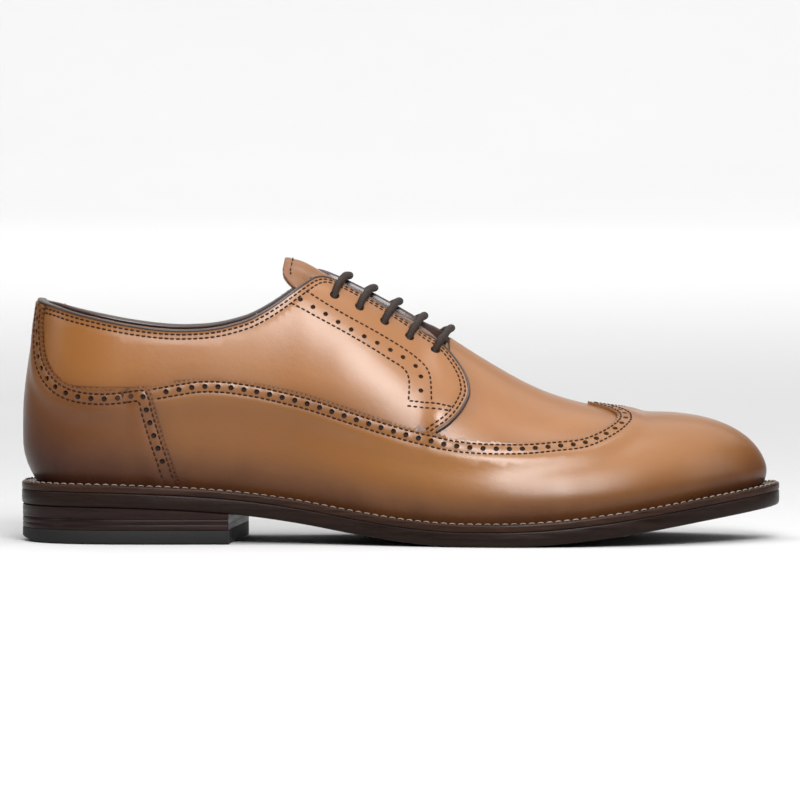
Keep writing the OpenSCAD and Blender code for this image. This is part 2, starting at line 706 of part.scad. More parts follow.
module shank() color("#8d9196") one_mesh() intersection() {
    slab(-2.1, -1.1);
    pillar() shank_plan();
}
module insole() color("#cfae82") one_mesh() intersection() {
    slab(0, insole_t);
    body(lining_lo - gap);
}
module sock_lining() color("#b98d62") one_mesh() intersection() {
    slab(insole_t + gap, insole_t + 1);
    body(lining_lo - gap);
}

// The heel is cut square behind a slightly hollow breast that runs forward on the inner side
module heel_plan(m = 0) {
    difference() {
        edge_plan(m);
        polygon([[-68.5 + m, -60], [-68.5 + m, -33], [-67.6 + m, -20], [-66 + m, -5],
            [-64.2 + m, 10], [-62 + m, 25], [-61.2 + m, 33], [-61 + m, 60], [200, 60], [200, -60]]);
    }
}
nail_at = [[-142, 0], [-133, 18], [-133, -18], [-112, 26], [-112, -26], [-84, 25], [-84, -25.5]];
nail_top = top_piece_t + lift_t + 1.2;
module nail_holes(r) {
    for (p = nail_at) {
        translate([p[0] * kx, p[1] * ky, top_piece_t - 1])
            cylinder(h = nail_top - top_piece_t + 1.2, r = r, $fn = 24);
    }
}
module heel_top_piece() color("#17161a") difference() {
    linear_extrude(top_piece_t) heel_plan();
    translate([-sole_length / 2 + 2.6, 0, 0]) rotate([0, -50, 0])
        translate([-20, -60, -20]) cube([20, 120, 40]);
}
module heel_lift_lower() color("#5a3b2b") difference() {
    translate([0, 0, top_piece_t + gap]) linear_extrude(lift_t) heel_plan();
    nail_holes(0.9);
}
module heel_lift_upper() color("#54372a") one_mesh() difference() {
    intersection() {
        slab(-far, sole_low - gap);
        translate([0, 0, top_piece_t + lift_t + 2 * gap]) linear_extrude(20) heel_plan();
    }
    nail_holes(0.9);
}
module heel_nails() color("#a9a49a") {
    for (p = nail_at) {
        translate([p[0] * kx, p[1] * ky, top_piece_t + 2 * gap])
            cylinder(h = nail_top - top_piece_t - 0.2, r = 0.8, $fn = 24);
    }
}

// Puts the bounding box's middle over the origin
module placed() translate([0, 0.76 * ky, 0]) children();

placed() outsole();
placed() welt();
placed() welt_stitching();
placed() insole();
placed() insole_rib();
placed() cork_filler();
placed() shank();
placed() sock_lining();
placed() heel_lift_upper();
placed() heel_lift_lower();
placed() heel_top_piece();
placed() heel_nails();
placed() vamp();
placed() wing_cap();
placed() quarter_lateral();
placed() quarter_medial();
placed() counter_cover();
placed() topline_binding();
placed() vamp_lining();
placed() quarter_lining_lateral();
placed() quarter_lining_medial();
placed() vamp_interlining();
placed() interlining_lateral();
placed() interlining_medial();
placed() facing_stay_lateral();
placed() facing_stay_medial();
placed() toe_puff();
placed() heel_stiffener();
placed() eyelets_lateral();
placed() eyelets_medial();
placed() tongue();
placed() tongue_lining();
placed() lace();
placed() aglets();
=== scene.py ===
"""Looks of the leather wingtip derby shoe.

The upper is drawn as flat patterns. A pattern point (u, v) has u, the station along the last in
millimetres, and v, the angle from the ridge in degrees (negative on the lateral side). skin()
lifts pattern points onto the last, with the same curves as the CAD model. All lengths here are
millimetres until a mesh is made.
"""
import json
import math

import bmesh
import bpy
import numpy as np
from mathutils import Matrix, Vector
from mathutils.geometry import delaunay_2d_cdt
from mathutils.kdtree import KDTree

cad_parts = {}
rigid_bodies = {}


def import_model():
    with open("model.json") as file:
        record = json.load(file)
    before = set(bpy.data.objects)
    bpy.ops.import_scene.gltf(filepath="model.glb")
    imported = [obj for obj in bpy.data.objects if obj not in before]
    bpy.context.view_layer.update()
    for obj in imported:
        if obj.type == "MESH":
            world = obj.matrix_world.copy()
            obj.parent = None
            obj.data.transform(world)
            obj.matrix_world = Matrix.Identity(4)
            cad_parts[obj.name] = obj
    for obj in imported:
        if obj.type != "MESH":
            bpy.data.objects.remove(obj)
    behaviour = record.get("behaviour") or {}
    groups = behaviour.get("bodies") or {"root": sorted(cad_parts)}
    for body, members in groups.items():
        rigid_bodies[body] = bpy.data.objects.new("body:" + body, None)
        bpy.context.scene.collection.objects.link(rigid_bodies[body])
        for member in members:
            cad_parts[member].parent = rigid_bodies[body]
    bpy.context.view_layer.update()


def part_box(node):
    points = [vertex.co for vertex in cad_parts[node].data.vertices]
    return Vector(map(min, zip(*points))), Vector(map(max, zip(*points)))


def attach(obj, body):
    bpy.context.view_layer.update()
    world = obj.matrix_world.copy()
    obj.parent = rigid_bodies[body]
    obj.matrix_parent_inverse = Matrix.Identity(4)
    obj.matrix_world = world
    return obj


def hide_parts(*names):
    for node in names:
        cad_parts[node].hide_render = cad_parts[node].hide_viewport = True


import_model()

MM = 0.001
SHOE = "shoe"
TONGUE = "tongue"
LATERAL = -1
MEDIAL = 1

# ---------------------------------------------------------------------------------------------
# The last, as in the CAD model
# ---------------------------------------------------------------------------------------------
SEAT = [[-152, 23.8], [-120, 23.6], [-100, 23], [-80, 22], [-60, 20.2], [-40, 17.4],
        [-20, 13.8], [0, 10.7], [18, 9.2], [32, 9], [46, 9.2], [60, 10], [80, 12.1], [100, 15],
        [120, 18.2], [140, 21.2], [152, 23]]
RIDGE = [[-152, 118], [-100, 118], [-60, 117], [-41, 112.6], [-30, 107.6], [-20, 103],
         [-10, 98], [0, 92.6], [10, 86.8], [20, 80.6], [30, 74.2], [40, 68.2], [50, 62.7],
         [60, 58.4], [70, 55.3], [80, 53.2], [90, 51.9], [100, 51]]
HALF_WIDTH = [[-152, 31], [-120, 31], [-100, 31.6], [-80, 31.4], [-60, 31.2], [-40, 32],
              [-20, 34.8], [0, 39.6], [20, 44.8], [40, 48.2], [60, 48.9], [80, 47], [100, 43],
              [120, 37.5], [148, 29]]
CENTRE = [[-152, 0], [-100, -0.2], [-60, -1.2], [-20, -3.2], [20, -2.4], [60, -0.5],
          [100, 2.2], [148, 6.5]]
LEAN = [[-152, 0], [-80, 0], [-40, 3.5], [0, 6], [40, 5], [80, 2.5], [148, 0]]
FULLNESS = [[-152, 2.8], [-60, 2.9], [-25, 3.1], [0, 2.3], [14, 1.95], [40, 1.8], [70, 2],
            [100, 2.4], [148, 2.3]]
HEEL_BACK = [[0, -150.7], [12, -151.1], [23, -151.2], [33, -150.9], [45, -149.5],
             [60, -147.1], [72, -145], [96, -141]]
TURN_IN = [[-168, 5], [-112, 4], [-60, 3.5], [0, 2.8], [60, 2.6], [120, 2.4], [167, 2]]
TURN_IN_ARCH = [[-110, 0], [-50, 3], [0, 1.2], [30, 0]]
TURN_HEIGHT = [[-168, 16], [-60, 16], [0, 13], [60, 11], [167, 8]]
WELT_MARGIN = [[-168, 0.9], [-112, 2.4], [-60, 1.6], [-30, 1.8], [0, 2.8], [40, 3.6],
               [90, 3.8], [167, 4.4]]
HEEL_CAP_X, HEEL_ARC, HEEL_ROUND = -112.0, 56.0, 2.2
TOE_CAP_X, TOE_CAP_L, TOE_ARC, TOE_ROUND = 90.0, 57.2, 77.0, 2.2
TOE_TOP_X, TOE_TOP_ROUND = 100.0, 2.3
TOE_TOP_L = TOE_CAP_X + TOE_CAP_L - TOE_TOP_X
A_HEEL = HEEL_CAP_X - HEEL_ARC
A_TOE = TOE_CAP_X + TOE_ARC
REFERENCE_LENGTH = 303.2

LEATHER = 1.25
STITCH_ROWS = (1.7, 5.7)
WELT_T, SOLE_T, INSOLE_T = 3.0, 5.95, 3.4
LINING_HI, LINING_LO = -2.45, -3.3


def curve(table, x):
    """Smooth curve through [x, value] points."""
    t = np.asarray(table, float)
    xs, ys = t[:, 0], t[:, 1]
    slope = np.empty(len(t))
    slope[1:-1] = (ys[2:] - ys[:-2]) / (xs[2:] - xs[:-2])
    slope[0] = (ys[1] - ys[0]) / (xs[1] - xs[0])
    slope[-1] = (ys[-1] - ys[-2]) / (xs[-1] - xs[-2])
    x = np.clip(np.asarray(x, float), xs[0], xs[-1])
    i = np.clip(np.searchsorted(xs, x, "right") - 1, 0, len(t) - 2)
    w = xs[i + 1] - xs[i]
    k = (x - xs[i]) / w
    return ((2 * k**3 - 3 * k**2 + 1) * ys[i] + (k**3 - 2 * k**2 + k) * w * slope[i]
            + (3 * k**2 - 2 * k**3) * ys[i + 1] + (k**3 - k**2) * w * slope[i + 1])


def sind(x):
    return np.sin(np.radians(x))


def cosd(x):
    return np.cos(np.radians(x))


def smoothstep(lo, hi, x):
    k = np.clip((np.asarray(x, float) - lo) / (hi - lo), 0, 1)
    return k * k * (3 - 2 * k)


def seat(x):
    return curve(SEAT, x)


def ridge_z(x):
    x = np.asarray(x, float)
    tip = seat(TOE_CAP_X + TOE_CAP_L)
    run = np.clip((x - TOE_TOP_X) / TOE_TOP_L, 0, 1)
    drop = np.maximum(0, 1 - run**TOE_TOP_ROUND) ** (1 / TOE_TOP_ROUND)
    return np.where(x <= TOE_TOP_X, curve(RIDGE, x), tip + (curve(RIDGE, TOE_TOP_X) - tip) * drop)


def heel_angle(a):
    return np.clip((HEEL_CAP_X - a) / HEEL_ARC, 0, 1) * 90


def toe_angle(a):
    return np.clip((a - TOE_CAP_X) / TOE_ARC, 0, 1) * 90


def end_width(a):
    heel = np.maximum(0, 1 - sind(heel_angle(a)) ** HEEL_ROUND) ** (1 / HEEL_ROUND)
    toe = np.maximum(0, 1 - sind(toe_angle(a)) ** TOE_ROUND) ** (1 / TOE_ROUND)
    return heel * toe


def outward(a, side):
    """Plan direction out of the shoe at a station."""
    heel = a < HEEL_CAP_X
    x = np.where(heel, -sind(heel_angle(a)), sind(toe_angle(a)))
    y = side * np.where(heel, cosd(heel_angle(a)), cosd(toe_angle(a)))
    return x, y


def turned_in(a, side):
    return curve(TURN_IN, a) + np.where(side > 0, curve(TURN_IN_ARCH, a), 0)


def skin_of(a, phi, side):
    """Point of the last's surface at a station, an angle and a side."""
    heel = a < HEEL_CAP_X
    x0 = np.where(heel, HEEL_CAP_X + (a - HEEL_CAP_X) * 0.6, a)
    h0 = (curve(RIDGE, x0) - seat(x0)) * sind(phi)
    x_heel = HEEL_CAP_X - (HEEL_CAP_X - curve(HEEL_BACK, h0)) * sind(heel_angle(a))
    x_toe = TOE_CAP_X + TOE_CAP_L * sind(toe_angle(a))
    x = np.where(heel, x_heel, np.where(a > TOE_CAP_X, x_toe, a))
    h = np.where(heel, h0, (ridge_z(x) - seat(x)) * sind(phi))
    w = curve(HALF_WIDTH, x) * end_width(a) * np.maximum(0, cosd(phi)) ** (2 / curve(FULLNESS, x))
    tall = curve(TURN_HEIGHT, a)
    tuck = np.where(h < tall, turned_in(a, side) * (1 - h / tall) ** 2, 0)
    dx, dy = outward(a, side)
    y = curve(CENTRE, x) + curve(LEAN, x) * sind(phi) ** 2 + side * w
    return np.stack([x - dx * tuck, y - dy * tuck, seat(x) + h], axis=-1)


def normal_of(a, phi, side):
    """Outward normal of the last's surface."""
    a0, a1 = np.maximum(A_HEEL, a - 0.4), a + 0.4
    f0, f1 = np.maximum(0, phi - 0.8), np.minimum(90, phi + 0.8)
    along = skin_of(a1, phi, side) - skin_of(a0, phi, side)
    up = skin_of(a, f1, side) - skin_of(a, f0, side)
    n = np.cross(up, along) * np.asarray(side)[..., None]
    n /= np.maximum(1e-9, np.linalg.norm(n, axis=-1, keepdims=True))
    return np.where((a > A_TOE - 0.4)[..., None], [1.0, 0, 0], n)


# The CAD model stands with the middle of its box over the origin
_rim = np.linspace(A_HEEL, A_TOE, 400)


def edge_xy(a, side, m=0.0):
    """Plan point of the sole's edge, m millimetres further out."""
    side = np.broadcast_to(np.asarray(side), np.shape(a))
    p = skin_of(a, np.zeros_like(a), side)
    dx, dy = outward(a, side)
    g = turned_in(a, side) + curve(WELT_MARGIN, a) + m
    return np.stack([p[..., 0] + dx * g, p[..., 1] + dy * g], axis=-1)


sole_lo, sole_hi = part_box("outsole")
Y_MID = -(edge_xy(_rim, LATERAL)[:, 1].min() + edge_xy(_rim, MEDIAL)[:, 1].max()) / 2
SCALE = (sole_hi.x - sole_lo.x) / (REFERENCE_LENGTH * MM)


def to_metres(points):
    p = np.array(points, float)
    p[..., 1] += Y_MID
    return p * MM * SCALE


# Pattern coordinates -------------------------------------------------------------------------
def split_uv(uv):
    uv = np.asarray(uv, float)
    return uv[..., 0], 90 - np.abs(uv[..., 1]), np.where(uv[..., 1] < 0, -1.0, 1.0)


def skin(uv):
    return skin_of(*split_uv(uv))


def normals(uv):
    a, phi, side = split_uv(uv)
    n = normal_of(a, phi, side)
    ridge = phi > 89.4
    seam = a < A_HEEL + 0.05
    if ridge.any() or seam.any():
        both = n + normal_of(a, phi, -side)
        both /= np.maximum(1e-9, np.linalg.norm(both, axis=-1, keepdims=True))
        n = np.where((ridge | seam)[..., None], both, n)
    return n


def lift(uv, off=0.0):
    """Pattern points on the last, off millimetres out of the skin."""
    return skin(uv) + np.asarray(off)[..., None] * normals(uv)


def station(x):
    """Station of a plan x in front of the heel curve."""
    x = np.asarray(x, float)
    k = np.clip((x - TOE_CAP_X) / TOE_CAP_L, 0, 1)
    return np.where(x > TOE_CAP_X, TOE_CAP_X + TOE_ARC * np.degrees(np.arcsin(k)) / 90, x)


def from_side(points, side):
    """Pattern points from side-view (x, z) points."""
    p = np.asarray(points, float)
    x, z = p[:, 0], p[:, 1]
    h = z - seat(x)
    back = curve(HEEL_BACK, h)
    k = np.clip((HEEL_CAP_X - x) / (HEEL_CAP_X - back), 0, 1)
    a_heel = HEEL_CAP_X - HEEL_ARC * np.degrees(np.arcsin(k)) / 90
    a = np.where(x < HEEL_CAP_X, a_heel, station(x))
    x0 = np.where(x < HEEL_CAP_X, HEEL_CAP_X + (a - HEEL_CAP_X) * 0.6, x)
    top = np.where(x < HEEL_CAP_X, curve(RIDGE, x0) - seat(x0), ridge_z(x) - seat(x))
    phi = np.degrees(np.arcsin(np.clip(h / top, 0, 1)))
    return np.stack([a, side * (90 - phi)], axis=-1)


def ridge_y(x):
    return curve(CENTRE, x) + curve(LEAN, x)


def from_plan(points):
    """Pattern points from plan (x, y) points on the top of the last."""
    p = np.asarray(points, float)
    x, y = p[..., 0], p[..., 1]
    phi = np.full(x.shape, 70.0)
    wide = curve(HALF_WIDTH, x) * end_width(station(x))
    for _ in range(8):
        c = np.abs(y - curve(CENTRE, x) - curve(LEAN, x) * sind(phi) ** 2) / wide
        phi = np.degrees(np.arccos(np.minimum(1, c) ** (curve(FULLNESS, x) / 2)))
    side = np.where(y < ridge_y(x), -1, 1)
    return np.stack([station(x), side * (90 - phi)], axis=-1)


def smooth(points, step=1.0, closed=False):
    """Even points along a smooth curve through given points, in any number of dimensions."""
    p = np.asarray(points, float)
    if closed:
        p = np.vstack([p, p[:1]])
    s = np.concatenate([[0], np.cumsum(np.linalg.norm(np.diff(p, axis=0), axis=1))])
    n = max(2, int(round(s[-1] / step)) + 1)
    t = np.linspace(0, s[-1], n)
    return np.stack([curve(np.stack([s, p[:, k]], axis=1), t) for k in range(p.shape[1])], axis=1)


def resample(uv, step, closed=False):
    """The same pattern line with points step millimetres apart on the last."""
    if closed:
        uv = np.vstack([uv, uv[:1]])
    q = skin(uv)
    s = np.concatenate([[0], np.cumsum(np.linalg.norm(np.diff(q, axis=0), axis=1))])
    n = max(2, int(round(s[-1] / step)) + 1)
    t = np.linspace(0, s[-1], n)
    return np.stack([np.interp(t, s, uv[:, k]) for k in (0, 1)], axis=1)


def frame_along(uv):
    """Tangent, normal and sideways direction at each point of a pattern line."""
    q = skin(uv)
    t = np.gradient(q, axis=0)
    t /= np.maximum(1e-9, np.linalg.norm(t, axis=1, keepdims=True))
    n = normals(uv)
    b = np.cross(n, t)
    b /= np.maximum(1e-9, np.linalg.norm(b, axis=1, keepdims=True))
    return t, n, b


def nudge(uv, shift):
    """Pattern points moved by small 3-D shifts along the surface."""
    e = 0.2
    side = np.where(uv[:, 1] < 0, -1.0, 1.0)
    du = (skin(uv + [e, 0]) - skin(uv - [e, 0])) / (2 * e)
    inner = np.stack([uv[:, 0], uv[:, 1] + side * e], axis=1)
    dv = (skin(inner) - skin(uv)) / (e * side)[:, None]
    g11, g12, g22 = (du * du).sum(1), (du * dv).sum(1), (dv * dv).sum(1)
    b1, b2 = (du * shift).sum(1), (dv * shift).sum(1)
    det = np.maximum(1e-6, g11 * g22 - g12 * g12)
    return uv + np.stack([(b1 * g22 - b2 * g12) / det, (b2 * g11 - b1 * g12) / det], axis=1)


def gap_to(points, line):
    """Distance from each 3-D point to the nearest point of a 3-D line."""
    tree = KDTree(len(line))
    for i, p in enumerate(line):
        tree.insert(p, i)
    tree.balance()
    return np.array([tree.find(p)[2] for p in points])


def inset(uv, d, trim=0.95):
    """A pattern line moved d millimetres to its left on the last; folds at corners are cut out."""
    base = skin(uv)
    out = uv.copy()
    steps = max(1, int(math.ceil(abs(d) / 1.5)))
    for _ in range(steps):
        _, _, b = frame_along(out)
        out = nudge(out, b * (d / steps))
    keep = gap_to(skin(out), base) > trim * abs(d)
    return out[keep]


def zigzag(uv, pitch, deep):
    """A pinked edge: teeth deep millimetres high to the right of the line."""
    q = resample(uv, pitch / 2)
    _, _, b = frame_along(q)
    teeth = (np.arange(len(q)) % 2)[:, None]
    return nudge(q, -b * teeth * deep)


def inside(poly, points):
    """True for points within a closed pattern outline."""
    out = np.zeros(len(points), bool)
    x, y = points[:, 0], points[:, 1]
    x0, y0 = poly[:, 0], poly[:, 1]
    x1, y1 = np.roll(x0, -1), np.roll(y0, -1)
    for i in range(len(poly)):
        if y0[i] == y1[i]:
            continue
        cross = ((y0[i] > y) != (y1[i] > y))
        hit = x0[i] + (y - y0[i]) * (x1[i] - x0[i]) / (y1[i] - y0[i])
        out ^= cross & (x < hit)
    return out


# ---------------------------------------------------------------------------------------------
# Seam lines
# ---------------------------------------------------------------------------------------------
FAR = 260.0
DEEP = 95.0
THROAT_Y = -0.4
TOPLINE = [[-146, 96.9], [-138, 94.4], [-130, 92], [-120, 89.6], [-110, 87.6],
           [-100, 86.1], [-90, 85.3], [-82, 85.4], [-75, 86], [-68, 87.4], [-60, 90],
           [-52, 94.4], [-45, 99.2], [-39, 103.4]]
FACING = [[-33.6, 12.4], [-30, 9.9], [-26, 9.1], [-18, 9], [-6, 9], [4, 9.2], [10, 10.2],
          [17, 12.6], [22, 16.6], [25.7, 21.4], [27.2, 26.5]]
THROAT_FRONT = [[26.8, 57.8], [23.6, 52.4], [19, 47.8], [13.5, 44.2], [7, 39.5]]
WING_EDGE = [[-104, 62.6], [-98, 63.4], [-90, 64.8], [-80, 66.2], [-70, 66], [-60, 64.7],
             [-50, 62.7], [-40, 60.4], [-30, 57.5], [-20, 54.2], [-10, 51], [0, 48],
             [10, 45.3], [20, 43], [30, 41.7], [40, 41.1], [50, 40.9], [60, 41.4]]
WING_FRONT = [[71, 34.2], [77, 30.6], [81.6, 26.6], [84.6, 22.4], [85.9, 18.4], [85.4, 14.4],
              [83, 9.6], [79.4, 5], [74, 0]]
WING_Y = 1.8
COUNTER_TOP = [[-141, 99], [-142, 93], [-142.4, 88], [-142.2, 81], [-141.4, 75],
               [-139.6, 70.4], [-136.5, 66.4], [-132, 63.4], [-126, 61.8], [-118, 61.3],
               [-110, 62], [-100.5, 63.2]]
COUNTER_FRONT = [[-100.5, 63.2], [-98.8, 59.4], [-97, 52.2], [-94, 42.2], [-91.2, 34],
                 [-88, 24.3], [-86.5, 18]]


def cut_edge(side):
    """Topline, facing edge and throat front of one quarter, from the heel seam forward."""
    plan = [[x, THROAT_Y + side * y] for x, y in FACING]
    pts = np.vstack([from_side(TOPLINE, side), from_plan(plan), from_side(THROAT_FRONT, side)])
    pts[0, 0] = A_HEEL
    return resample(smooth(pts, 1.0), 1.0)


def wing_line():
    """The wing's top edge, from the lateral counter seam over the peak to the medial one."""
    lat = np.vstack([from_side(WING_EDGE, LATERAL),
                     from_plan([[x, WING_Y - y] for x, y in WING_FRONT])])
    med = np.vstack([from_side(WING_EDGE, MEDIAL),
                     from_plan([[x, WING_Y + y] for x, y in WING_FRONT])])
    lat, med = smooth(lat, 1.0), smooth(med, 1.0)
    med[-1] = lat[-1]
    return np.vstack([resample(lat, 1.0), resample(med, 1.0)[::-1][1:]])


def counter_line(side):
    top = smooth(from_side(COUNTER_TOP, side), 1.0)
    front = smooth(from_side(COUNTER_FRONT, side), 1.0)
    front[-1, 1] = side * DEEP
    return np.vstack([resample(top, 1.0)[:-1], resample(front, 1.0)])


EDGE = {s: cut_edge(s) for s in (LATERAL, MEDIAL)}
WING = wing_line()
COUNTER = {s: counter_line(s) for s in (LATERAL, MEDIAL)}


def zone(line, *corners):
    return np.vstack([line, np.array(corners, float)])


LAP = 6.0
IN_WING = zone(WING, [-FAR, WING[-1, 1]], [-FAR, DEEP], [FAR, DEEP], [FAR, -DEEP],
               [-FAR, -DEEP], [-FAR, WING[0, 1]])
IN_COUNTER = {s: zone(COUNTER[s], [COUNTER[s][-1, 0], s * DEEP], [-FAR, s * DEEP],
                      [-FAR, COUNTER[s][0, 1]]) for s in (LATERAL, MEDIAL)}
IN_QUARTER = {s: zone(EDGE[s], [EDGE[s][-1, 0], s * DEEP], [-FAR, s * DEEP],
                      [-FAR, EDGE[s][0, 1]]) for s in (LATERAL, MEDIAL)}
# Distance out of a zone and into it, by way of its line
WING_3D = skin(WING)
COUNTER_3D = {s: skin(COUNTER[s]) for s in (LATERAL, MEDIAL)}
EDGE_3D = {s: skin(EDGE[s]) for s in (LATERAL, MEDIAL)}


def depth(uv, poly, line3):
    """Signed distance into a zone."""
    d = gap_to(skin(uv), line3)
    return np.where(inside(poly, uv), d, -d)


def constant(value):
    """The same value at every pattern point."""
    return lambda uv: np.full(len(uv), value)


def groove(d, rows):
    """Dent of the leather along stitch rows at these depths from an edge."""
    return sum(-0.26 * np.exp(-((d - r) / 0.6) ** 2) for r in rows)


def round_over(d):
    """Soft top of a cut edge."""
    return -0.28 * (1 - np.clip(d / 0.7, 0, 1)) ** 2


# ---------------------------------------------------------------------------------------------
# Meshes
# ---------------------------------------------------------------------------------------------
def make(name, points, faces, material, body=SHOE, sharp=35, attrs=None, merge=0.0):
    mesh = bpy.data.meshes.new(name)
    mesh.from_pydata(to_metres(points).tolist(), [], [list(map(int, f)) for f in faces])
    for key, values in (attrs or {}).items():
        layer = mesh.attributes.new(key, "FLOAT", "POINT")
        layer.data.foreach_set("value", np.asarray(values, np.float32))
    if merge:
        bm = bmesh.new()
        bm.from_mesh(mesh)
        bmesh.ops.remove_doubles(bm, verts=bm.verts, dist=merge * MM)
        bmesh.ops.dissolve_degenerate(bm, edges=bm.edges, dist=1e-6)
        bm.to_mesh(mesh)
        bm.free()
    mesh.shade_smooth()
    mesh.set_sharp_from_angle(angle=math.radians(sharp))
    mesh.materials.append(material)
    obj = bpy.data.objects.new(name, mesh)
    bpy.context.scene.collection.objects.link(obj)
    if body:
        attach(obj, body)
    return obj


def burnish_and_shade_of(points):
    """How dark the finish is made: burnished towards the heel and the toe tip, with painted shade
    towards the feather edge and low behind the ball.
    """
    x, z = points[:, 0], points[:, 2]
    h = z - seat(x)
    heel = (1 - smoothstep(-152, -88, x)) * (0.78 - 0.66 * smoothstep(34, 68, z))
    toe = smoothstep(112, 150, x) * 0.35
    # Painted shade: the upper darker towards the feather edge, as light falls from above
    low = (1 - smoothstep(0, 22, h)) * 0.72
    # Painted shade: the lower part behind the ball darker
    rear = (1 - smoothstep(-60, 30, x)) * (1 - smoothstep(52, 68, z)) * 0.3
    return 1 - (1 - heel) * (1 - toe) * (1 - low) * (1 - rear)


def triangulate(points, lines):
    """Points and triangles of a flat area with the lines as edges."""
    pts = [tuple(p) for p in points]
    edges = []
    for line, closed in lines:
        first = len(pts)
        pts += [tuple(p) for p in line]
        edges += [(i, i + 1) for i in range(first, len(pts) - 1)]
        if closed:
            edges.append((len(pts) - 1, first))
    v, _, f, _, _, _ = delaunay_2d_cdt([Vector(p) for p in pts], edges, [], 0, 1e-5)
    return np.array([[p.x, p.y] for p in v]), np.array(f)


def flat_tree(points):
    """Search tree of flat points."""
    tree = KDTree(len(points))
    for i, p in enumerate(points):
        tree.insert((p[0], p[1], 0), i)
    tree.balance()
    return tree


def twice_area(v, tri):
    """Twice the signed area of flat triangles, above 0 when they turn left."""
    a, b, c = v[tri[:, 0]], v[tri[:, 1]], v[tri[:, 2]]
    return (b[:, 0] - a[:, 0]) * (c[:, 1] - a[:, 1]) - (c[:, 0] - a[:, 0]) * (b[:, 1] - a[:, 1])


def domain_grid(step_u, step_v, lines, clear=0.8):
    """Grid of pattern points kept off the constraint lines."""
    u = np.concatenate([np.arange(A_HEEL, 128, step_u), np.arange(128, A_TOE - 0.2, step_u / 1.6)])
    v = np.arange(-90, 90.01, step_v)
    g = np.stack(np.meshgrid(u, v), -1).reshape(-1, 2)
    near = np.vstack([l for l, _ in lines])
    tree = flat_tree(near)
    rim = (np.abs(np.abs(g[:, 1]) - 90) < 1e-6) | (g[:, 0] == A_HEEL)
    far = np.array([tree.find((p[0], p[1], 0))[2] > clear for p in g])
    return g[far | rim]


def panel(name, lines, keep, high, low, material, step=2.4, attrs=None):
    """Leather cut along lines, kept where keep() is true, between two offset surfaces."""
    clipped = []
    for line, closed in lines:
        line = line.copy()
        line[:, 0] = np.clip(line[:, 0], A_HEEL, A_TOE)
        line[:, 1] = np.clip(line[:, 1], -90, 90)
        clipped.append((line, closed))
    grid = domain_grid(step, step, clipped)
    uv, tri = triangulate(grid, clipped)
    mid = uv[tri].mean(axis=1)
    ok = keep(mid)
    tri = tri[ok]
    used = np.unique(tri)
    index = np.full(len(uv), -1)
    index[used] = np.arange(len(used))
    uv, tri = uv[used], index[tri]
    tri = np.where((twice_area(uv, tri) > 0)[:, None], tri, tri[:, ::-1])
    p, n = skin(uv), normals(uv)
    top, bottom = high(uv), low(uv)
    a, b = p + top[:, None] * n, p + bottom[:, None] * n
    q = a[tri]
    facing = (np.cross(q[:, 1] - q[:, 0], q[:, 2] - q[:, 0]) * n[tri].mean(axis=1)).sum(1)
    if np.median(facing) < 0:
        tri = tri[:, ::-1]
    count = len(uv)
    edges = {}
    for t in tri:
        for i in range(3):
            e = (t[i], t[(i + 1) % 3])
            if (e[1], e[0]) in edges:
                del edges[(e[1], e[0])]
            else:
                edges[e] = True
    at_heel = uv[:, 0] < A_HEEL + 1e-3
    walls = [(e[0], e[0] + count, e[1] + count, e[1]) for e in edges
             if not (at_heel[e[0]] and at_heel[e[1]])]
    faces = [tuple(t) for t in tri] + [tuple(t[::-1] + count) for t in tri] + walls
    points = np.vstack([a, b])
    # Burnish and painted shade for the calf materials
    data = {"burnish_and_shade": np.tile(burnish_and_shade_of(a), 2)}
    for key, fn in (attrs or {}).items():
        data[key] = np.tile(fn(uv), 2)
    return make(name, points, faces, material, attrs=data, merge=0.02)


def punch(line, pitch, radius, sides=10):
    """Round holes at even spacing along a pattern line, as closed pattern outlines."""
    pts = resample(line, pitch)[1:-1] if pitch else line
    _, n, _ = frame_along(pts) if len(pts) > 1 else (None, normals(pts), None)
    ring = []
    for p, m in zip(pts, n):
        t = np.cross(m, [0.3, 0.9, 0.2])
        t /= np.linalg.norm(t)
        b = np.cross(m, t)
        k = np.arange(sides) * 2 * math.pi / sides
        shift = radius * (np.cos(k)[:, None] * t + np.sin(k)[:, None] * b)
        ring.append((nudge(np.repeat(p[None], sides, 0), shift), True))
    return ring, pts


def seam(line, off, pitch=2.3, length=1.85, r=0.36):
    """Stitches along a pattern line, as thread stitches sunk a little in the leather."""
    q = resample(line, pitch)
    mid = (q[:-1] + q[1:]) / 2
    if len(mid) < 3:
        return []
    t, n, b = frame_along(mid)
    base = skin(mid) + np.asarray(off(mid))[:, None] * n
    return [(c, tt, nn, bb, length, r) for c, tt, nn, bb in zip(base, t, n, b)]


def hole_shade_discs(name, outlines, high, material):
    """Dark discs of painted shade at the bottoms of punched holes, just above the flesh side of the
    leather.
    """
    pts, faces = [], []
    for poly in outlines:
        centre = poly.mean(axis=0)
        wide = centre + (poly - centre) * 1.12
        level_ = high(centre[None])[0] - 1.1
        first = len(pts)
        ring = lift(np.vstack([centre[None], wide]), np.full(len(wide) + 1, level_))
        pts += list(ring)
        n = len(wide)
        faces += [(first, first + 1 + i, first + 1 + (i + 1) % n) for i in range(n)]
    return make(name, np.array(pts), faces, material)


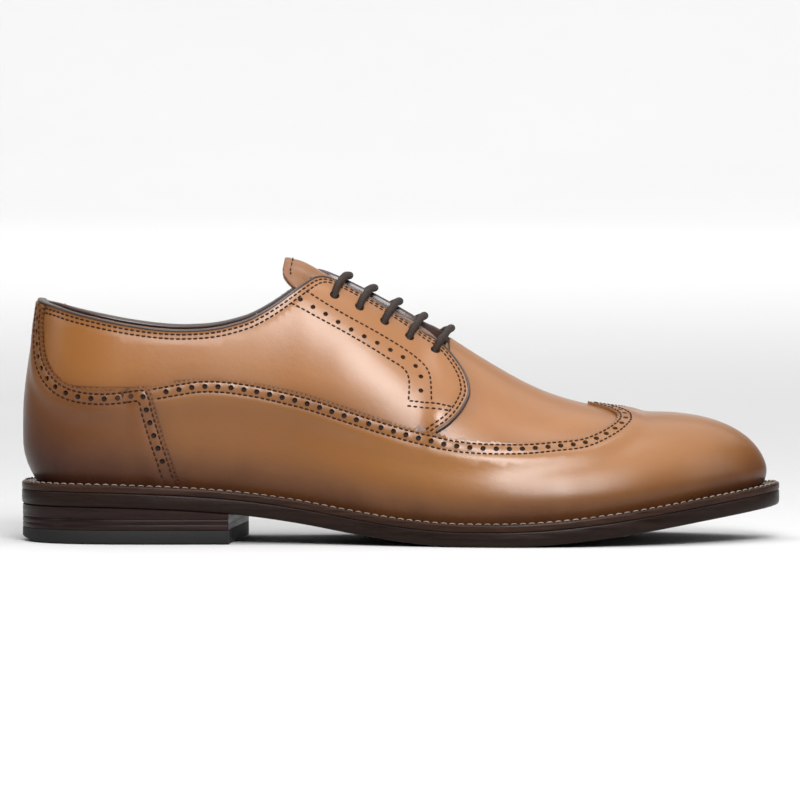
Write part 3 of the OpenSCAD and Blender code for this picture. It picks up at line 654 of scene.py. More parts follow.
def stitch_mesh(name, stitches, material, body=SHOE):
    """All stitches of one kind in one mesh: each is a small bowed bead of thread."""
    ks = [-1.0, -0.78, -0.3, 0.3, 0.78, 1.0]
    fat = [0.3, 0.85, 1.0, 1.0, 0.85, 0.3]
    dip = [-0.75, -0.1, 0.25, 0.25, -0.1, -0.75]
    sides = 6
    ang = np.arange(sides) * 2 * math.pi / sides
    pts, faces = [], []
    for c, t, n, b, length, r in stitches:
        first = len(pts)
        for k, w, z in zip(ks, fat, dip):
            o = c + t * (k * length / 2) + n * (z * r)
            for g in ang:
                pts.append(o + b * (math.cos(g) * r * w) + n * (math.sin(g) * r * w * 0.8))
        for i in range(len(ks) - 1):
            for j in range(sides):
                m = (j + 1) % sides
                faces.append((first + i * sides + j, first + i * sides + m,
                              first + (i + 1) * sides + m, first + (i + 1) * sides + j))
        faces.append(tuple(first + j for j in range(sides))[::-1])
        last = first + (len(ks) - 1) * sides
        faces.append(tuple(last + j for j in range(sides)))
    return make(name, np.array(pts), faces, material, body=body, sharp=70)


def tube(points, radius, sides=16):
    """Round tube through 3-D points."""
    p = np.asarray(points, float)
    t = np.gradient(p, axis=0)
    t /= np.linalg.norm(t, axis=1, keepdims=True)
    u = np.cross(t[0], [0.2, 0.3, 0.9])
    u /= np.linalg.norm(u)
    r = np.broadcast_to(np.asarray(radius, float), (len(p),))
    verts, faces = [], []
    for i in range(len(p)):
        u = u - (u @ t[i]) * t[i]
        u /= np.linalg.norm(u)
        w = np.cross(t[i], u)
        for k in range(sides):
            g = 2 * math.pi * k / sides
            verts.append(p[i] + r[i] * (math.cos(g) * u + math.sin(g) * w))
    for i in range(len(p) - 1):
        for k in range(sides):
            m = (k + 1) % sides
            faces.append((i * sides + k, i * sides + m, (i + 1) * sides + m, (i + 1) * sides + k))
    faces.append(tuple(range(sides))[::-1])
    faces.append(tuple((len(p) - 1) * sides + k for k in range(sides)))
    return np.array(verts), faces


def sweep(rows, closed_rows=False):
    """Skin over rows of closed profiles that all have the same count of points."""
    rows = np.asarray(rows, float)
    m, n = rows.shape[:2]
    faces = []
    for i in range(m if closed_rows else m - 1):
        a, b = i * n, ((i + 1) % m) * n
        for j in range(n):
            k = (j + 1) % n
            faces.append((a + j, a + k, b + k, b + j))
    if not closed_rows:
        faces.append(tuple(range(n))[::-1])
        faces.append(tuple((m - 1) * n + j for j in range(n)))
    return rows.reshape(-1, 3), faces


# ---------------------------------------------------------------------------------------------
# Materials
# ---------------------------------------------------------------------------------------------
class Look:
    """Short way to wire one material's nodes."""

    def __init__(self, name):
        self.mat = bpy.data.materials.new(name)
        self.mat.use_nodes = True
        self.tree = self.mat.node_tree
        self.bsdf = self.tree.nodes["Principled BSDF"]
        self.where = self.add("ShaderNodeTexCoord").outputs["Object"]

    def add(self, kind, **props):
        node = self.tree.nodes.new(kind)
        for key, value in props.items():
            setattr(node, key, value)
        return node

    def put(self, socket, value):
        if isinstance(value, bpy.types.NodeSocket):
            self.tree.links.new(value, socket)
        elif isinstance(value, (tuple, list)) and len(value) == 3 and socket.type == "RGBA":
            socket.default_value = (*value, 1)
        else:
            socket.default_value = value

    def noise(self, scale, detail=3.0, rough=0.55, vector=None, distort=0.0):
        node = self.add("ShaderNodeTexNoise")
        self.put(node.inputs["Vector"], vector or self.where)
        for key, value in (("Scale", scale), ("Detail", detail), ("Roughness", rough),
                           ("Distortion", distort)):
            node.inputs[key].default_value = value
        return node.outputs["Fac"]

    def cells(self, scale, vector=None, feature="F1"):
        node = self.add("ShaderNodeTexVoronoi", feature=feature)
        self.put(node.inputs["Vector"], vector or self.where)
        node.inputs["Scale"].default_value = scale
        return node.outputs["Distance"]

    def stretch(self, x, y, z):
        node = self.add("ShaderNodeMapping")
        self.put(node.inputs["Vector"], self.where)
        node.inputs["Scale"].default_value = (x, y, z)
        return node.outputs["Vector"]

    def value(self, name):
        return self.add("ShaderNodeAttribute", attribute_name=name).outputs["Fac"]

    def math(self, op, a, b=0.0, c=None, clamp=False):
        node = self.add("ShaderNodeMath", operation=op, use_clamp=clamp)
        self.put(node.inputs[0], a)
        self.put(node.inputs[1], b)
        if c is not None:
            self.put(node.inputs[2], c)
        return node.outputs[0]

    def fit(self, value, lo, hi, to_lo=0.0, to_hi=1.0):
        node = self.add("ShaderNodeMapRange")
        self.put(node.inputs["Value"], value)
        for key, number in (("From Min", lo), ("From Max", hi), ("To Min", to_lo),
                            ("To Max", to_hi)):
            node.inputs[key].default_value = number
        return node.outputs["Result"]

    def mix(self, fac, a, b, mode="MIX"):
        node = self.add("ShaderNodeMix", data_type="RGBA", blend_type=mode)
        self.put(node.inputs["Factor"], fac)
        self.put(node.inputs["A"], a)
        self.put(node.inputs["B"], b)
        return node.outputs["Result"]

    def bump(self, height, strength, distance, under=None):
        node = self.add("ShaderNodeBump")
        self.put(node.inputs["Height"], height)
        node.inputs["Strength"].default_value = strength
        node.inputs["Distance"].default_value = distance
        if under is not None:
            self.put(node.inputs["Normal"], under)
        return node.outputs["Normal"]

    def done(self, colour, rough, normal=None, **extra):
        self.put(self.bsdf.inputs["Base Color"], colour)
        self.put(self.bsdf.inputs["Roughness"], rough)
        if normal is not None:
            self.put(self.bsdf.inputs["Normal"], normal)
        for key, value in extra.items():
            self.put(self.bsdf.inputs[key.replace("_", " ")], value)
        return self.mat


def calf(name, light, mid, dark, extra_burn=0.0, gloss=0.36):
    """Smooth calf, hand burnished: patchy patina, fine grain, darker where burnish and painted
    shade are high, and painted shade beside overlying edges.
    """
    k = Look(name)
    patina = k.noise(26, 4, 0.6, distort=0.4)
    cloud = k.noise(7.5, 2, 0.5)
    grain = k.noise(1900, 2, 0.6)
    pores = k.cells(900)
    tone = k.fit(k.math("ADD", k.math("MULTIPLY", patina, 0.55), k.math("MULTIPLY", cloud, 0.45)),
                 0.32, 0.68)
    base = k.mix(tone, mid, light)
    # The attribute mixes real burnish at heel and toe tip with painted shade low on the upper
    burnish_and_shade = k.math("ADD", k.value("burnish_and_shade"), extra_burn)
    streak = k.math("MULTIPLY", k.fit(patina, 0.3, 0.7, -0.12, 0.12), 1.0)
    burnish_and_shade = k.math("ADD", burnish_and_shade, streak, clamp=True)
    # Dark cut edges; on a ground piece this also paints a shadow line along the edge of the leather
    # lying on it
    edge = k.fit(k.value("edge"), 0.2, 1.2, 0.85, 0.0)
    # Darker band near an edge: painted shade on the ground beside overlying leather, and a darker
    # margin along each piece's own edges
    band = k.fit(k.value("edge"), 1.0, 9.0, 0.16, 0.0)
    colour = k.mix(burnish_and_shade, base, dark)
    colour = k.mix(band, colour, dark)
    colour = k.mix(edge, colour, (dark[0] * 0.4, dark[1] * 0.4, dark[2] * 0.4))
    rough = k.fit(k.math("ADD", patina, k.math("MULTIPLY", grain, 0.3)), 0.4, 0.9,
                  gloss - 0.05, gloss + 0.09)
    soft = k.bump(k.noise(330, 3, 0.6), 0.12, 0.0004)
    fine = k.bump(k.math("ADD", grain, k.math("MULTIPLY", pores, 0.5)), 0.16, 0.00012, soft)
    return k.done(colour, rough, fine, Coat_Weight=k.fit(burnish_and_shade, 0.0, 0.9, 0.34, 0.04),
                  Coat_Roughness=0.27, Specular_IOR_Level=k.fit(burnish_and_shade, 0.0, 0.9, 0.36, 0.16))


def waxed_edge(name, light, dark, lines=1.0, rough=0.34):
    """Cut leather edge, stained and waxed: long flat fibres and fine layer lines."""
    k = Look(name)
    fibre = k.noise(60, 5, 0.65, k.stretch(0.35, 0.35, 9.0))
    fleck = k.noise(420, 3, 0.6, k.stretch(0.4, 0.4, 2.2))
    tone = k.fit(k.math("ADD", k.math("MULTIPLY", fibre, 0.7), k.math("MULTIPLY", fleck, 0.3)),
                 0.35, 0.65)
    colour = k.mix(tone, dark, light)
    n = k.bump(fibre, 0.35 * lines, 0.0004)
    n = k.bump(fleck, 0.2, 0.0002, n)
    return k.done(colour, k.fit(fibre, 0.3, 0.7, rough - 0.06, rough + 0.14), n,
                  Specular_IOR_Level=0.13)


def matte(name, light, dark, scale=300, rough=0.8, strength=0.3, fuzz=0.0, shine=0.3):
    """Unpolished material with a fine mottled surface."""
    k = Look(name)
    a, b = k.noise(scale, 4, 0.6), k.noise(scale / 14, 3, 0.55)
    tone = k.fit(k.math("ADD", k.math("MULTIPLY", a, 0.4), k.math("MULTIPLY", b, 0.6)), 0.34, 0.66)
    return k.done(k.mix(tone, dark, light), k.fit(a, 0.3, 0.7, rough - 0.05, rough + 0.05),
                  k.bump(a, strength, 0.0003), Sheen_Weight=fuzz, Specular_IOR_Level=shine)


def braid(name, light, dark):
    """Waxed round lace: diagonal plaits in both directions along the cord."""
    k = Look(name)
    around, along = k.value("around"), k.value("along")
    s1 = k.math("SINE", k.math("ADD", k.math("MULTIPLY", along, 5.6),
                               k.math("MULTIPLY", around, 6)))
    s2 = k.math("SINE", k.math("SUBTRACT", k.math("MULTIPLY", along, 5.6),
                               k.math("MULTIPLY", around, 6)))
    plait = k.math("MULTIPLY", s1, s2)
    tone = k.fit(k.math("ADD", plait, k.math("MULTIPLY", k.noise(900, 3), 0.8)), -0.5, 1.3)
    return k.done(k.mix(tone, dark, light), 0.6, k.bump(plait, 0.45, 0.0003),
                  Specular_IOR_Level=0.22)


def metal(name, light, dark, rough=0.3):
    k = Look(name)
    a = k.noise(240, 3, 0.6)
    return k.done(k.mix(a, dark, light), k.fit(a, 0.3, 0.7, rough - 0.08, rough + 0.1),
                  Metallic=1.0)


def weave(name, light, dark):
    k = Look(name)
    wave = k.add("ShaderNodeTexWave", wave_type="BANDS", bands_direction="DIAGONAL")
    k.put(wave.inputs["Vector"], k.where)
    wave.inputs["Scale"].default_value = 420
    wave.inputs["Distortion"].default_value = 1.5
    tone = k.math("MULTIPLY", wave.outputs["Fac"], k.noise(500, 2))
    return k.done(k.mix(tone, dark, light), 0.85, k.bump(wave.outputs["Fac"], 0.5, 0.0002))


TAN_LIGHT, TAN_MID, TAN_DARK = (0.255, 0.100, 0.022), (0.195, 0.071, 0.014), (0.036, 0.011, 0.007)
UPPER = calf("upper_calf", TAN_LIGHT, TAN_MID, TAN_DARK)
WING_M = calf("wing_calf", (0.235, 0.095, 0.022), (0.180, 0.067, 0.014), TAN_DARK, 0.02)
COUNTER_M = calf("counter_calf", (0.215, 0.084, 0.021), (0.160, 0.057, 0.014),
                 (0.032, 0.010, 0.007), 0.04)
TONGUE_M = calf("tongue_calf", (0.25, 0.105, 0.034), (0.20, 0.080, 0.025), TAN_DARK, 0.1, 0.42)
BINDING_M = calf("binding_calf", (0.040, 0.019, 0.014), (0.028, 0.013, 0.010),
                 (0.012, 0.006, 0.004), 0.0, 0.33)
# Painted shade for the bottoms of the punched holes
HOLE_SHADE_M = matte("painted_hole_shade", (0.024, 0.011, 0.008), (0.012, 0.006, 0.005), 700, 0.8, 0.2)
LINING_M = matte("lining_leather", (0.47, 0.30, 0.165), (0.37, 0.215, 0.11), 420, 0.72, 0.25, 0.1)
SOCK_M = matte("sock_leather", (0.34, 0.18, 0.085), (0.26, 0.13, 0.058), 380, 0.55, 0.2)
SOLE_M = waxed_edge("sole_edge", (0.016, 0.0075, 0.0048), (0.005, 0.0026, 0.002))
WELT_M = waxed_edge("welt_edge", (0.034, 0.014, 0.008), (0.010, 0.0045, 0.003), 0.6)
LIFT_M = waxed_edge("heel_edge", (0.022, 0.010, 0.008), (0.007, 0.004, 0.004))
RUBBER_M = matte("heel_rubber", (0.009, 0.008, 0.008), (0.005, 0.0045, 0.005), 260, 0.7, 0.35)
THREAD_M = matte("upper_thread", (0.040, 0.017, 0.010), (0.018, 0.008, 0.005), 1500, 0.75, 0.4, 0.0,
                 0.08)
WELT_THREAD_M = matte("welt_thread", (0.22, 0.165, 0.13), (0.11, 0.08, 0.06), 1500, 0.6, 0.4)
LACE_M = braid("lace_braid", (0.042, 0.026, 0.019), (0.010, 0.0065, 0.005))
AGLET_M = matte("aglet_plastic", (0.060, 0.040, 0.030), (0.035, 0.022, 0.017), 500, 0.3, 0.05)
BRASS_M = metal("eyelet_brass", (0.62, 0.43, 0.17), (0.45, 0.29, 0.10))
STEEL_M = metal("steel", (0.50, 0.50, 0.50), (0.36, 0.36, 0.37))
CORK_M = matte("cork", (0.40, 0.235, 0.11), (0.20, 0.105, 0.045), 260, 0.9, 0.6)
INSOLE_M = matte("insole_leather", (0.52, 0.35, 0.19), (0.42, 0.27, 0.14), 260, 0.75, 0.3)
BOARD_M = matte("stiffener_board", (0.40, 0.32, 0.22), (0.30, 0.23, 0.15), 200, 0.85, 0.3)
CANVAS_M = weave("canvas", (0.62, 0.56, 0.44), (0.44, 0.39, 0.30))
TWILL_M = weave("brown_twill", (0.075, 0.042, 0.026), (0.035, 0.019, 0.012))

# ---------------------------------------------------------------------------------------------
# Upper
# ---------------------------------------------------------------------------------------------
upper_stitches = []


def both(side):
    return "lateral" if side < 0 else "medial"


def wing_depth(uv):
    return depth(uv, IN_WING, WING_3D)


def counter_depth(uv, side):
    return depth(uv, IN_COUNTER[side], COUNTER_3D[side])


def quarter_depth(uv, side):
    return depth(uv, IN_QUARTER[side], EDGE_3D[side])


def nearest_quarter(uv, fn):
    """fn(uv, side), each point with the side it is on."""
    out = np.zeros(len(uv))
    for s in (LATERAL, MEDIAL):
        on = uv[:, 1] * s > 0
        if on.any():
            out[on] = fn(uv[on], s)
    return out


WING_SIDE = 1 if inside(IN_WING, inset(WING[40:60], 3.0)).all() else -1


def wing_row(d):
    return inset(WING, WING_SIDE * d)


def counter_row(side, d):
    probe = inset(COUNTER[side][40:60], 3.0)
    sign = 1 if inside(IN_COUNTER[side], probe).all() else -1
    return inset(COUNTER[side], sign * d)


def edge_row(side, d):
    probe = inset(EDGE[side][40:60], 3.0)
    sign = 1 if inside(IN_QUARTER[side], probe).all() else -1
    return inset(EDGE[side], sign * d)


def clip_line(line, keep):
    """The longest run of a line's points where keep holds."""
    ok = keep(line)
    best, start = (0, 0), None
    for i, flag in enumerate(list(ok) + [False]):
        if flag and start is None:
            start = i
        if not flag and start is not None:
            if i - start > best[1] - best[0]:
                best = (start, i)
            start = None
    return line[best[0]:best[1]]


def quarter_high(uv, side):
    d = quarter_depth(uv, side)
    raised = LEATHER * smoothstep(8, 15, uv[:, 0])
    return raised + groove(d, (2.1, 3.8)) * (d < 8)


def quarter_under_wing(uv):
    return nearest_quarter(uv, lambda p, s: LEATHER * smoothstep(8, 15, p[:, 0])
                           * smoothstep(-5, 0.5, quarter_depth(p, s)))


def wing_high(uv):
    d = wing_depth(uv)
    return ((LEATHER + quarter_under_wing(uv)) * (1 - smoothstep(7, 14, d))
            + groove(d, STITCH_ROWS) + round_over(d))


def wing_under_counter(uv):
    d = wing_depth(uv)
    return LEATHER * (1 - smoothstep(7, 14, d)) * smoothstep(-3.5, 0.5, d)


def counter_high(uv):
    def one(p, s):
        d = counter_depth(p, s)
        under = wing_under_counter(p) * smoothstep(-109, -104, p[:, 0])
        return ((LEATHER + under) * (1 - smoothstep(7, 14, d)) + groove(d, STITCH_ROWS)
                + round_over(d))
    return nearest_quarter(uv, one)


def inner_of(high):
    return lambda uv: high(uv) - 1.2


# Vamp: the ground in front of the facings and over the toe as far as the wing's lap
vamp_lines = [(wing_row(LAP), False)]
for s in (LATERAL, MEDIAL):
    vamp_lines.append((clip_line(edge_row(s, 7.0), lambda p: p[:, 0] > 2), False))
vamp_lines.append((np.array([[19.6, v] for v in np.arange(-40, 40.1, 2.0)]), False))
for s in (LATERAL, MEDIAL):
    back = [[19.6, 40], [16, 40.2], [11, 40.2], [6, 40.2], [3, 40.4], [3, 50], [3, 60], [3, 70],
            [3, 80], [3, 90]]
    vamp_lines.append((np.array(back) * [1, s], False))


def in_vamp(uv):
    lap = nearest_quarter(uv, quarter_depth) < 7.0
    ahead = uv[:, 0] > np.where(np.abs(uv[:, 1]) > 40, 3.0, 19.6)
    return ahead & (wing_depth(uv) < LAP) & lap


def vamp_edge(uv):
    """Distance from the leather that lies on the vamp; calf() paints shade on the vamp along that
    leather's edges.
    """
    return np.maximum(0, np.minimum(-wing_depth(uv), -nearest_quarter(uv, quarter_depth)) + 0.8)


panel("vamp_leather", vamp_lines, in_vamp, lambda uv: np.zeros(len(uv)),
      constant(-LEATHER), UPPER, attrs={"edge": vamp_edge})

# Quarters
BAND_HOLES = [[-40, 97.3], [-35, 94.3], [-30, 91.5], [-25, 88.3], [-19.8, 85.3], [-14.6, 82.6],
              [-9.4, 80], [-4.2, 77.2], [0.8, 74.3], [5.8, 70.8], [7.9, 66.6], [7.9, 61]]
BAND_UPPER = [[-39, 101.5], [-30, 95.8], [-20, 90], [-10, 84.5], [0, 78.5], [5, 75], [9, 71.5],
              [11, 68], [11.7, 64], [12, 56.8]]
BAND_LOWER = [[-44, 96], [-37, 92.3], [-30, 88.5], [-20, 83], [-10, 77], [-3, 72.5], [1, 70],
              [2.7, 67.5], [3.3, 64], [3, 57]]
BAND_BAR = [[[3, 57], [12, 55.8], [20, 54]], [[2, 55], [10, 54], [19, 52.5]]]


def from_image(points, side):
    """Pattern points from heights read in the slightly raised side view."""
    p = np.asarray(points, float)
    uv = from_side(np.stack([p[:, 0], p[:, 1] - 1.35], axis=1), side)
    for _ in range(3):
        y = -np.abs(skin(uv)[:, 1])
        uv = from_side(np.stack([p[:, 0], p[:, 1] - 1.35 - 0.05 * y], axis=1), side)
    return uv


def eyelet_x(i):
    return 13.4 - i * 9.95


EYELET_Y = 17.2


def eyelet_uv(i, side):
    return from_plan([[eyelet_x(i), THROAT_Y + side * EYELET_Y]])[0]


for s in (LATERAL, MEDIAL):
    holes, lines = [], []
    rings, _ = punch(from_image(BAND_HOLES, s), 0, 1.0)
    holes += rings
    rings, _ = punch(np.array([eyelet_uv(i, s) for i in range(5)]), 0, 2.0, 16)
    holes += rings
    polys = [r for r, _ in holes]
    lines += holes
    for d in (0.55, 1.5, 2.1, 2.9, 3.8, 4.6):
        lines.append((edge_row(s, d), False))
    lines.append((wing_row(LAP), False))
    lines.append((counter_row(s, LAP), False))

    def in_quarter(uv, s=s, polys=polys):
        ok = (uv[:, 1] * s > 0) & (quarter_depth(uv, s) > 0.5)
        ok &= (wing_depth(uv) < LAP) & (counter_depth(uv, s) < LAP)
        for poly in polys:
            ok &= ~inside(poly, uv)
        return ok

    def quarter_edge(uv, s=s):
        # Distance to the wing and counter lying on the quarter, along whose edges calf() paints
        # shade, and to the quarter's own edge
        near = np.maximum(0, np.minimum(-wing_depth(uv), -counter_depth(uv, s)) + 0.8)
        return np.minimum(near, quarter_depth(uv, s) + 1.5)

    high = lambda uv, s=s: quarter_high(uv, s)
    panel("quarter_" + both(s) + "_leather", lines, in_quarter, high, inner_of(high), UPPER,
          attrs={"edge": quarter_edge})
    for d in (2.1, 3.8):
        row = clip_line(edge_row(s, d), lambda p: wing_depth(p) < 0)
        upper_stitches += seam(row, lambda p, s=s: quarter_high(p, s) + 0.08)
    for row in (BAND_UPPER, BAND_LOWER, *BAND_BAR):
        line = resample(smooth(from_image(row, s), 1.0), 1.0)
        line = clip_line(line, lambda p, s=s: quarter_depth(p, s) > 2.6)
        upper_stitches += seam(line, lambda p, s=s: quarter_high(p, s) - 0.02)

    # Painted shade discs in the band holes
    hole_shade_discs("band_hole_floors_" + both(s), polys[:len(BAND_HOLES)], high, HOLE_SHADE_M)

# Wing cap, punched and pinked
holes, hole_at = punch(wing_row(3.6), 5.2, 1.1)
ok = np.array([nearest_quarter(p[None], counter_depth)[0] < -2.5 for p in hole_at])
holes = [h for h, k in zip(holes, ok) if k]
wing_polys = [h for h, _ in holes]
pinked = zigzag(WING, 1.9, 0.0)
_, _, across = frame_along(pinked)
pinked = nudge(pinked, across * WING_SIDE * ((np.arange(len(pinked)) % 2) * 0.95)[:, None])
PINKED_WING = zone(pinked, *IN_WING[len(WING):])
wing_lines = holes + [(pinked, False)] + [(wing_row(d), False)
                                          for d in (1.2, 1.7, 2.3, 5.1, 5.7, 6.3, 8.5)]
for s in (LATERAL, MEDIAL):
    wing_lines.append((counter_row(s, LAP), False))


def hole_mask(uv, polys, pts):
    tree = KDTree(len(pts))
    for i, p in enumerate(pts):
        tree.insert((p[0], p[1], 0), i)
    tree.balance()
    out = np.zeros(len(uv), bool)
    for j, q in enumerate(uv):
        _, i, d = tree.find((q[0], q[1], 0))
        if d < 4:
            out[j] = inside(polys[i], q[None])[0]
    return out


def in_wing(uv):
    ok = inside(PINKED_WING, uv) & (nearest_quarter(uv, counter_depth) < LAP)
    return ok & ~hole_mask(uv, wing_polys, [h.mean(axis=0) for h in wing_polys])


def wing_edge_of(uv):
    # Distance to the wing's own edge, and to the counter lying on it, along whose edge calf()
    # paints shade
    return np.minimum(np.abs(wing_depth(uv)) + 0.8,
                      np.maximum(0, 0.8 - nearest_quarter(uv, counter_depth)))


panel("wing_leather", wing_lines, in_wing, wing_high, inner_of(wing_high), WING_M,
      step=2.2, attrs={"edge": wing_edge_of})
# Painted shade discs in the wing holes
hole_shade_discs("wing_hole_floors", wing_polys, wing_high, HOLE_SHADE_M)
for d in (1.7, 5.7):
    row = clip_line(wing_row(d), lambda p: nearest_quarter(p, counter_depth) < -0.5)
    upper_stitches += seam(row, lambda p: wing_high(p) + 0.08)

# Counter cover
counter_lines, counter_holes = [], []
for s in (LATERAL, MEDIAL):
    line = COUNTER[s]
    rings, _ = punch(counter_row(s, 3.6), 5.2, 1.1)
    counter_holes += [r for r in rings if r[0][:, 0].min() > A_HEEL + 2
                      and np.abs(r[0][:, 1]).max() < 86]
    teeth = resample(line, 0.95)
    _, _, across = frame_along(teeth)
    sign = 1 if inside(IN_COUNTER[s], nudge(teeth[20:30], across[20:30] * 2)).all() else -1
    teeth = nudge(teeth, across * sign * ((np.arange(len(teeth)) % 2) * 0.95)[:, None])
    counter_lines.append((teeth, False))
    counter_lines += [(counter_row(s, d), False) for d in (1.2, 1.7, 2.3, 5.1, 5.7, 6.3)]
    IN_COUNTER["pinked", s] = zone(teeth, *IN_COUNTER[s][len(line):])
counter_polys = [r for r, _ in counter_holes]


def in_counter(uv):
    ok = np.zeros(len(uv), bool)
    for s in (LATERAL, MEDIAL):
        on = uv[:, 1] * s > 0
        ok[on] = inside(IN_COUNTER["pinked", s], uv[on]) & (quarter_depth(uv[on], s) > 1.2)
    return ok & ~hole_mask(uv, counter_polys, [h.mean(axis=0) for h in counter_polys])


for s in (LATERAL, MEDIAL):
    counter_lines.append((edge_row(s, 1.2), False))
panel("counter_leather", counter_lines + counter_holes, in_counter, counter_high,
      inner_of(counter_high), COUNTER_M, step=2.2,
      attrs={"edge": lambda uv: np.abs(nearest_quarter(uv, counter_depth)) + 0.8})
# Painted shade discs in the counter holes
hole_shade_discs("counter_hole_floors", counter_polys, counter_high, HOLE_SHADE_M)
for s in (LATERAL, MEDIAL):
    for d in (1.7, 5.7):
        row = clip_line(counter_row(s, d), lambda p, s=s: (quarter_depth(p, s) > 1.6)
                        & (np.abs(p[:, 1]) < 88) & (p[:, 0] > A_HEEL + 0.5))
        upper_stitches += seam(row, lambda p: counter_high(p) + 0.08)
stitch_mesh("upper_stitches", upper_stitches, THREAD_M)

# Linings
panel("vamp_lining_skin", [(np.array([[19.6, v] for v in np.arange(-90, 90.1, 2)]), False)],
      lambda uv: uv[:, 0] > 19.6, constant(LINING_HI), constant(LINING_LO), LINING_M,
      step=3.0, attrs={"edge": constant(9.0)})
EYELET_HOLE = 3.5
for s in (LATERAL, MEDIAL):
    rings, _ = punch(np.array([eyelet_uv(i, s) for i in range(5)]), 0, EYELET_HOLE, 20)
    polys = [r for r, _ in rings]

    def in_lining(uv, s=s, polys=polys):
        under_wing = (np.abs(uv[:, 1]) > 45) & (uv[:, 0] > -2)
        ok = (uv[:, 1] * s > 0) & ((quarter_depth(uv, s) > 1.2) | under_wing) & (uv[:, 0] < 19.4)
        for poly in polys:
            ok &= ~inside(poly, uv)
        return ok

    cut = np.array([[19.4, v] for v in np.arange(10, 90.1, 2.0)]) * [1, s]
    corner = np.array([[19.4, 45], [10, 45.2], [-2, 45]]) * [1, s]
    panel("quarter_lining_" + both(s) + "_skin", rings + [(edge_row(s, 1.2), False),
                                                             (cut, False), (corner, False)],
          in_lining, constant(LINING_HI),
          constant(LINING_LO), LINING_M, step=3.0,
          attrs={"edge": lambda uv, s=s: quarter_depth(uv, s) + 1.5})

# Binding: a rolled strip over the cut edge of quarters and linings
PROFILE = [(1.15, -0.35), (1.1, 0.1), (0.85, 0.36), (0.4, 0.36), (0.05, 0.1), (-0.16, -0.7),
           (-0.2, -1.7), (-0.22, -2.7), (0.02, -3.35), (0.45, -3.62), (0.95, -3.62),
           (1.3, -3.4), (1.35, -3.1)]
strips = {}
for s in (LATERAL, MEDIAL):
    line = clip_line(EDGE[s], lambda p: wing_depth(p) < -0.3)
    line = resample(line, 1.2)
    _, n, b = frame_along(line)
    b = b * (1 if inside(IN_QUARTER[s], nudge(line[20:30], b[20:30] * 2)).all() else -1)
    b[0, 1] = 0
    rise = LEATHER * smoothstep(8, 15, line[:, 0])
    base = skin(line)
    rows = []
    for k in range(len(line)):
        row = []
        for d, off in PROFILE:
            up = rise[k] * (1.0 if off > -1 else 0.0)
            row.append(base[k] + b[k] * d + n[k] * (off + up))
        rows.append(row)
    strips[s] = np.array(rows)
lat, med = strips[LATERAL][::-1], strips[MEDIAL]
pts, faces = sweep(np.concatenate([lat, med[1:]]))
make("binding_roll", pts, faces, BINDING_M, sharp=50,
     attrs={"burnish_and_shade": np.zeros(len(pts)), "edge": np.full(len(pts), 9.0)})

# ---------------------------------------------------------------------------------------------
# Tongue
# ---------------------------------------------------------------------------------------------
TONGUE_HALF = [[-46, 13.6], [-44.6, 16.4], [-42, 18.2], [-36, 19], [-20, 18.5], [18.4, 17.5]]
CROWN = [[-46, -0.9], [-38, -0.7], [-28, -1.4], [-20, -2.3], [12, -2.4], [18.4, -3.8]]
FLANK = [[-46, -4.3], [-38, -5], [-30, -7.2], [12, -7.2], [18.4, -5.2]]


def tongue_point(x, y, drop):
    """Point of the tongue over a plan point, drop below its top."""
    x, y = np.broadcast_arrays(np.asarray(x, float), np.asarray(y, float))
    u = np.clip((np.abs(y) - 4.5) / 5.5, 0, 1)
    k = 3 * u**2 - 2 * u**3
    off = curve(CROWN, x) * (1 - k) + curve(FLANK, x) * k
    uv = from_plan(np.stack([x, THROAT_Y + y + 1.2], -1))
    return skin(uv) + (off - drop)[..., None] * normals(uv)


def tongue_sheet(name, top, bottom, material, inset_by=0.0):
    xs = np.concatenate([[-46 + inset_by], np.arange(-45.2 + inset_by, 17.6, 1.1), [18.4]])
    ts = np.concatenate([[-1, -0.97], np.linspace(-0.92, 0.92, 33), [0.97, 1]])
    rounds = np.array([0.32, 0.08] + [0.0] * (len(ts) - 4) + [0.08, 0.32])
    ends = np.array([0.32, 0.06] + [0.0] * (len(xs) - 2))
    x, t = np.meshgrid(xs, ts, indexing="ij")
    y = t * (curve(TONGUE_HALF, x) - inset_by)
    soft = np.maximum(rounds[None, :], ends[:, None]) * (bottom - top)
    row = -0.15 * np.exp(-((np.abs(y) - (curve(TONGUE_HALF, x) - 3)) / 0.7) ** 2)
    row = np.minimum(row, -0.15 * np.exp(-((x + 43) / 0.7) ** 2))
    up = tongue_point(x, y, top + soft - row)
    down = tongue_point(x, y, bottom - soft)
    m, n = x.shape
    idx = np.arange(m * n).reshape(m, n)
    faces = [(idx[i, j], idx[i, j + 1], idx[i + 1, j + 1], idx[i + 1, j])
             for i in range(m - 1) for j in range(n - 1)]
    faces += [tuple(k + m * n for k in f[::-1]) for f in faces]
    rim = list(idx[0, :]) + list(idx[1:, -1]) + list(idx[-1, :-1][::-1]) + list(idx[1:-1, 0][::-1])
    for i, a in enumerate(rim):
        b = rim[(i + 1) % len(rim)]
        faces.append((a, a + m * n, b + m * n, b))
    pts = np.vstack([up.reshape(-1, 3), down.reshape(-1, 3)])
    edge = np.minimum(np.abs(np.abs(y) - curve(TONGUE_HALF, x)), x + 46).reshape(-1) + 0.8
    obj = make(name, pts, faces, material, body=None, sharp=60,
               attrs={"burnish_and_shade": np.full(len(pts), 0.12), "edge": np.tile(edge, 2)})
    return obj


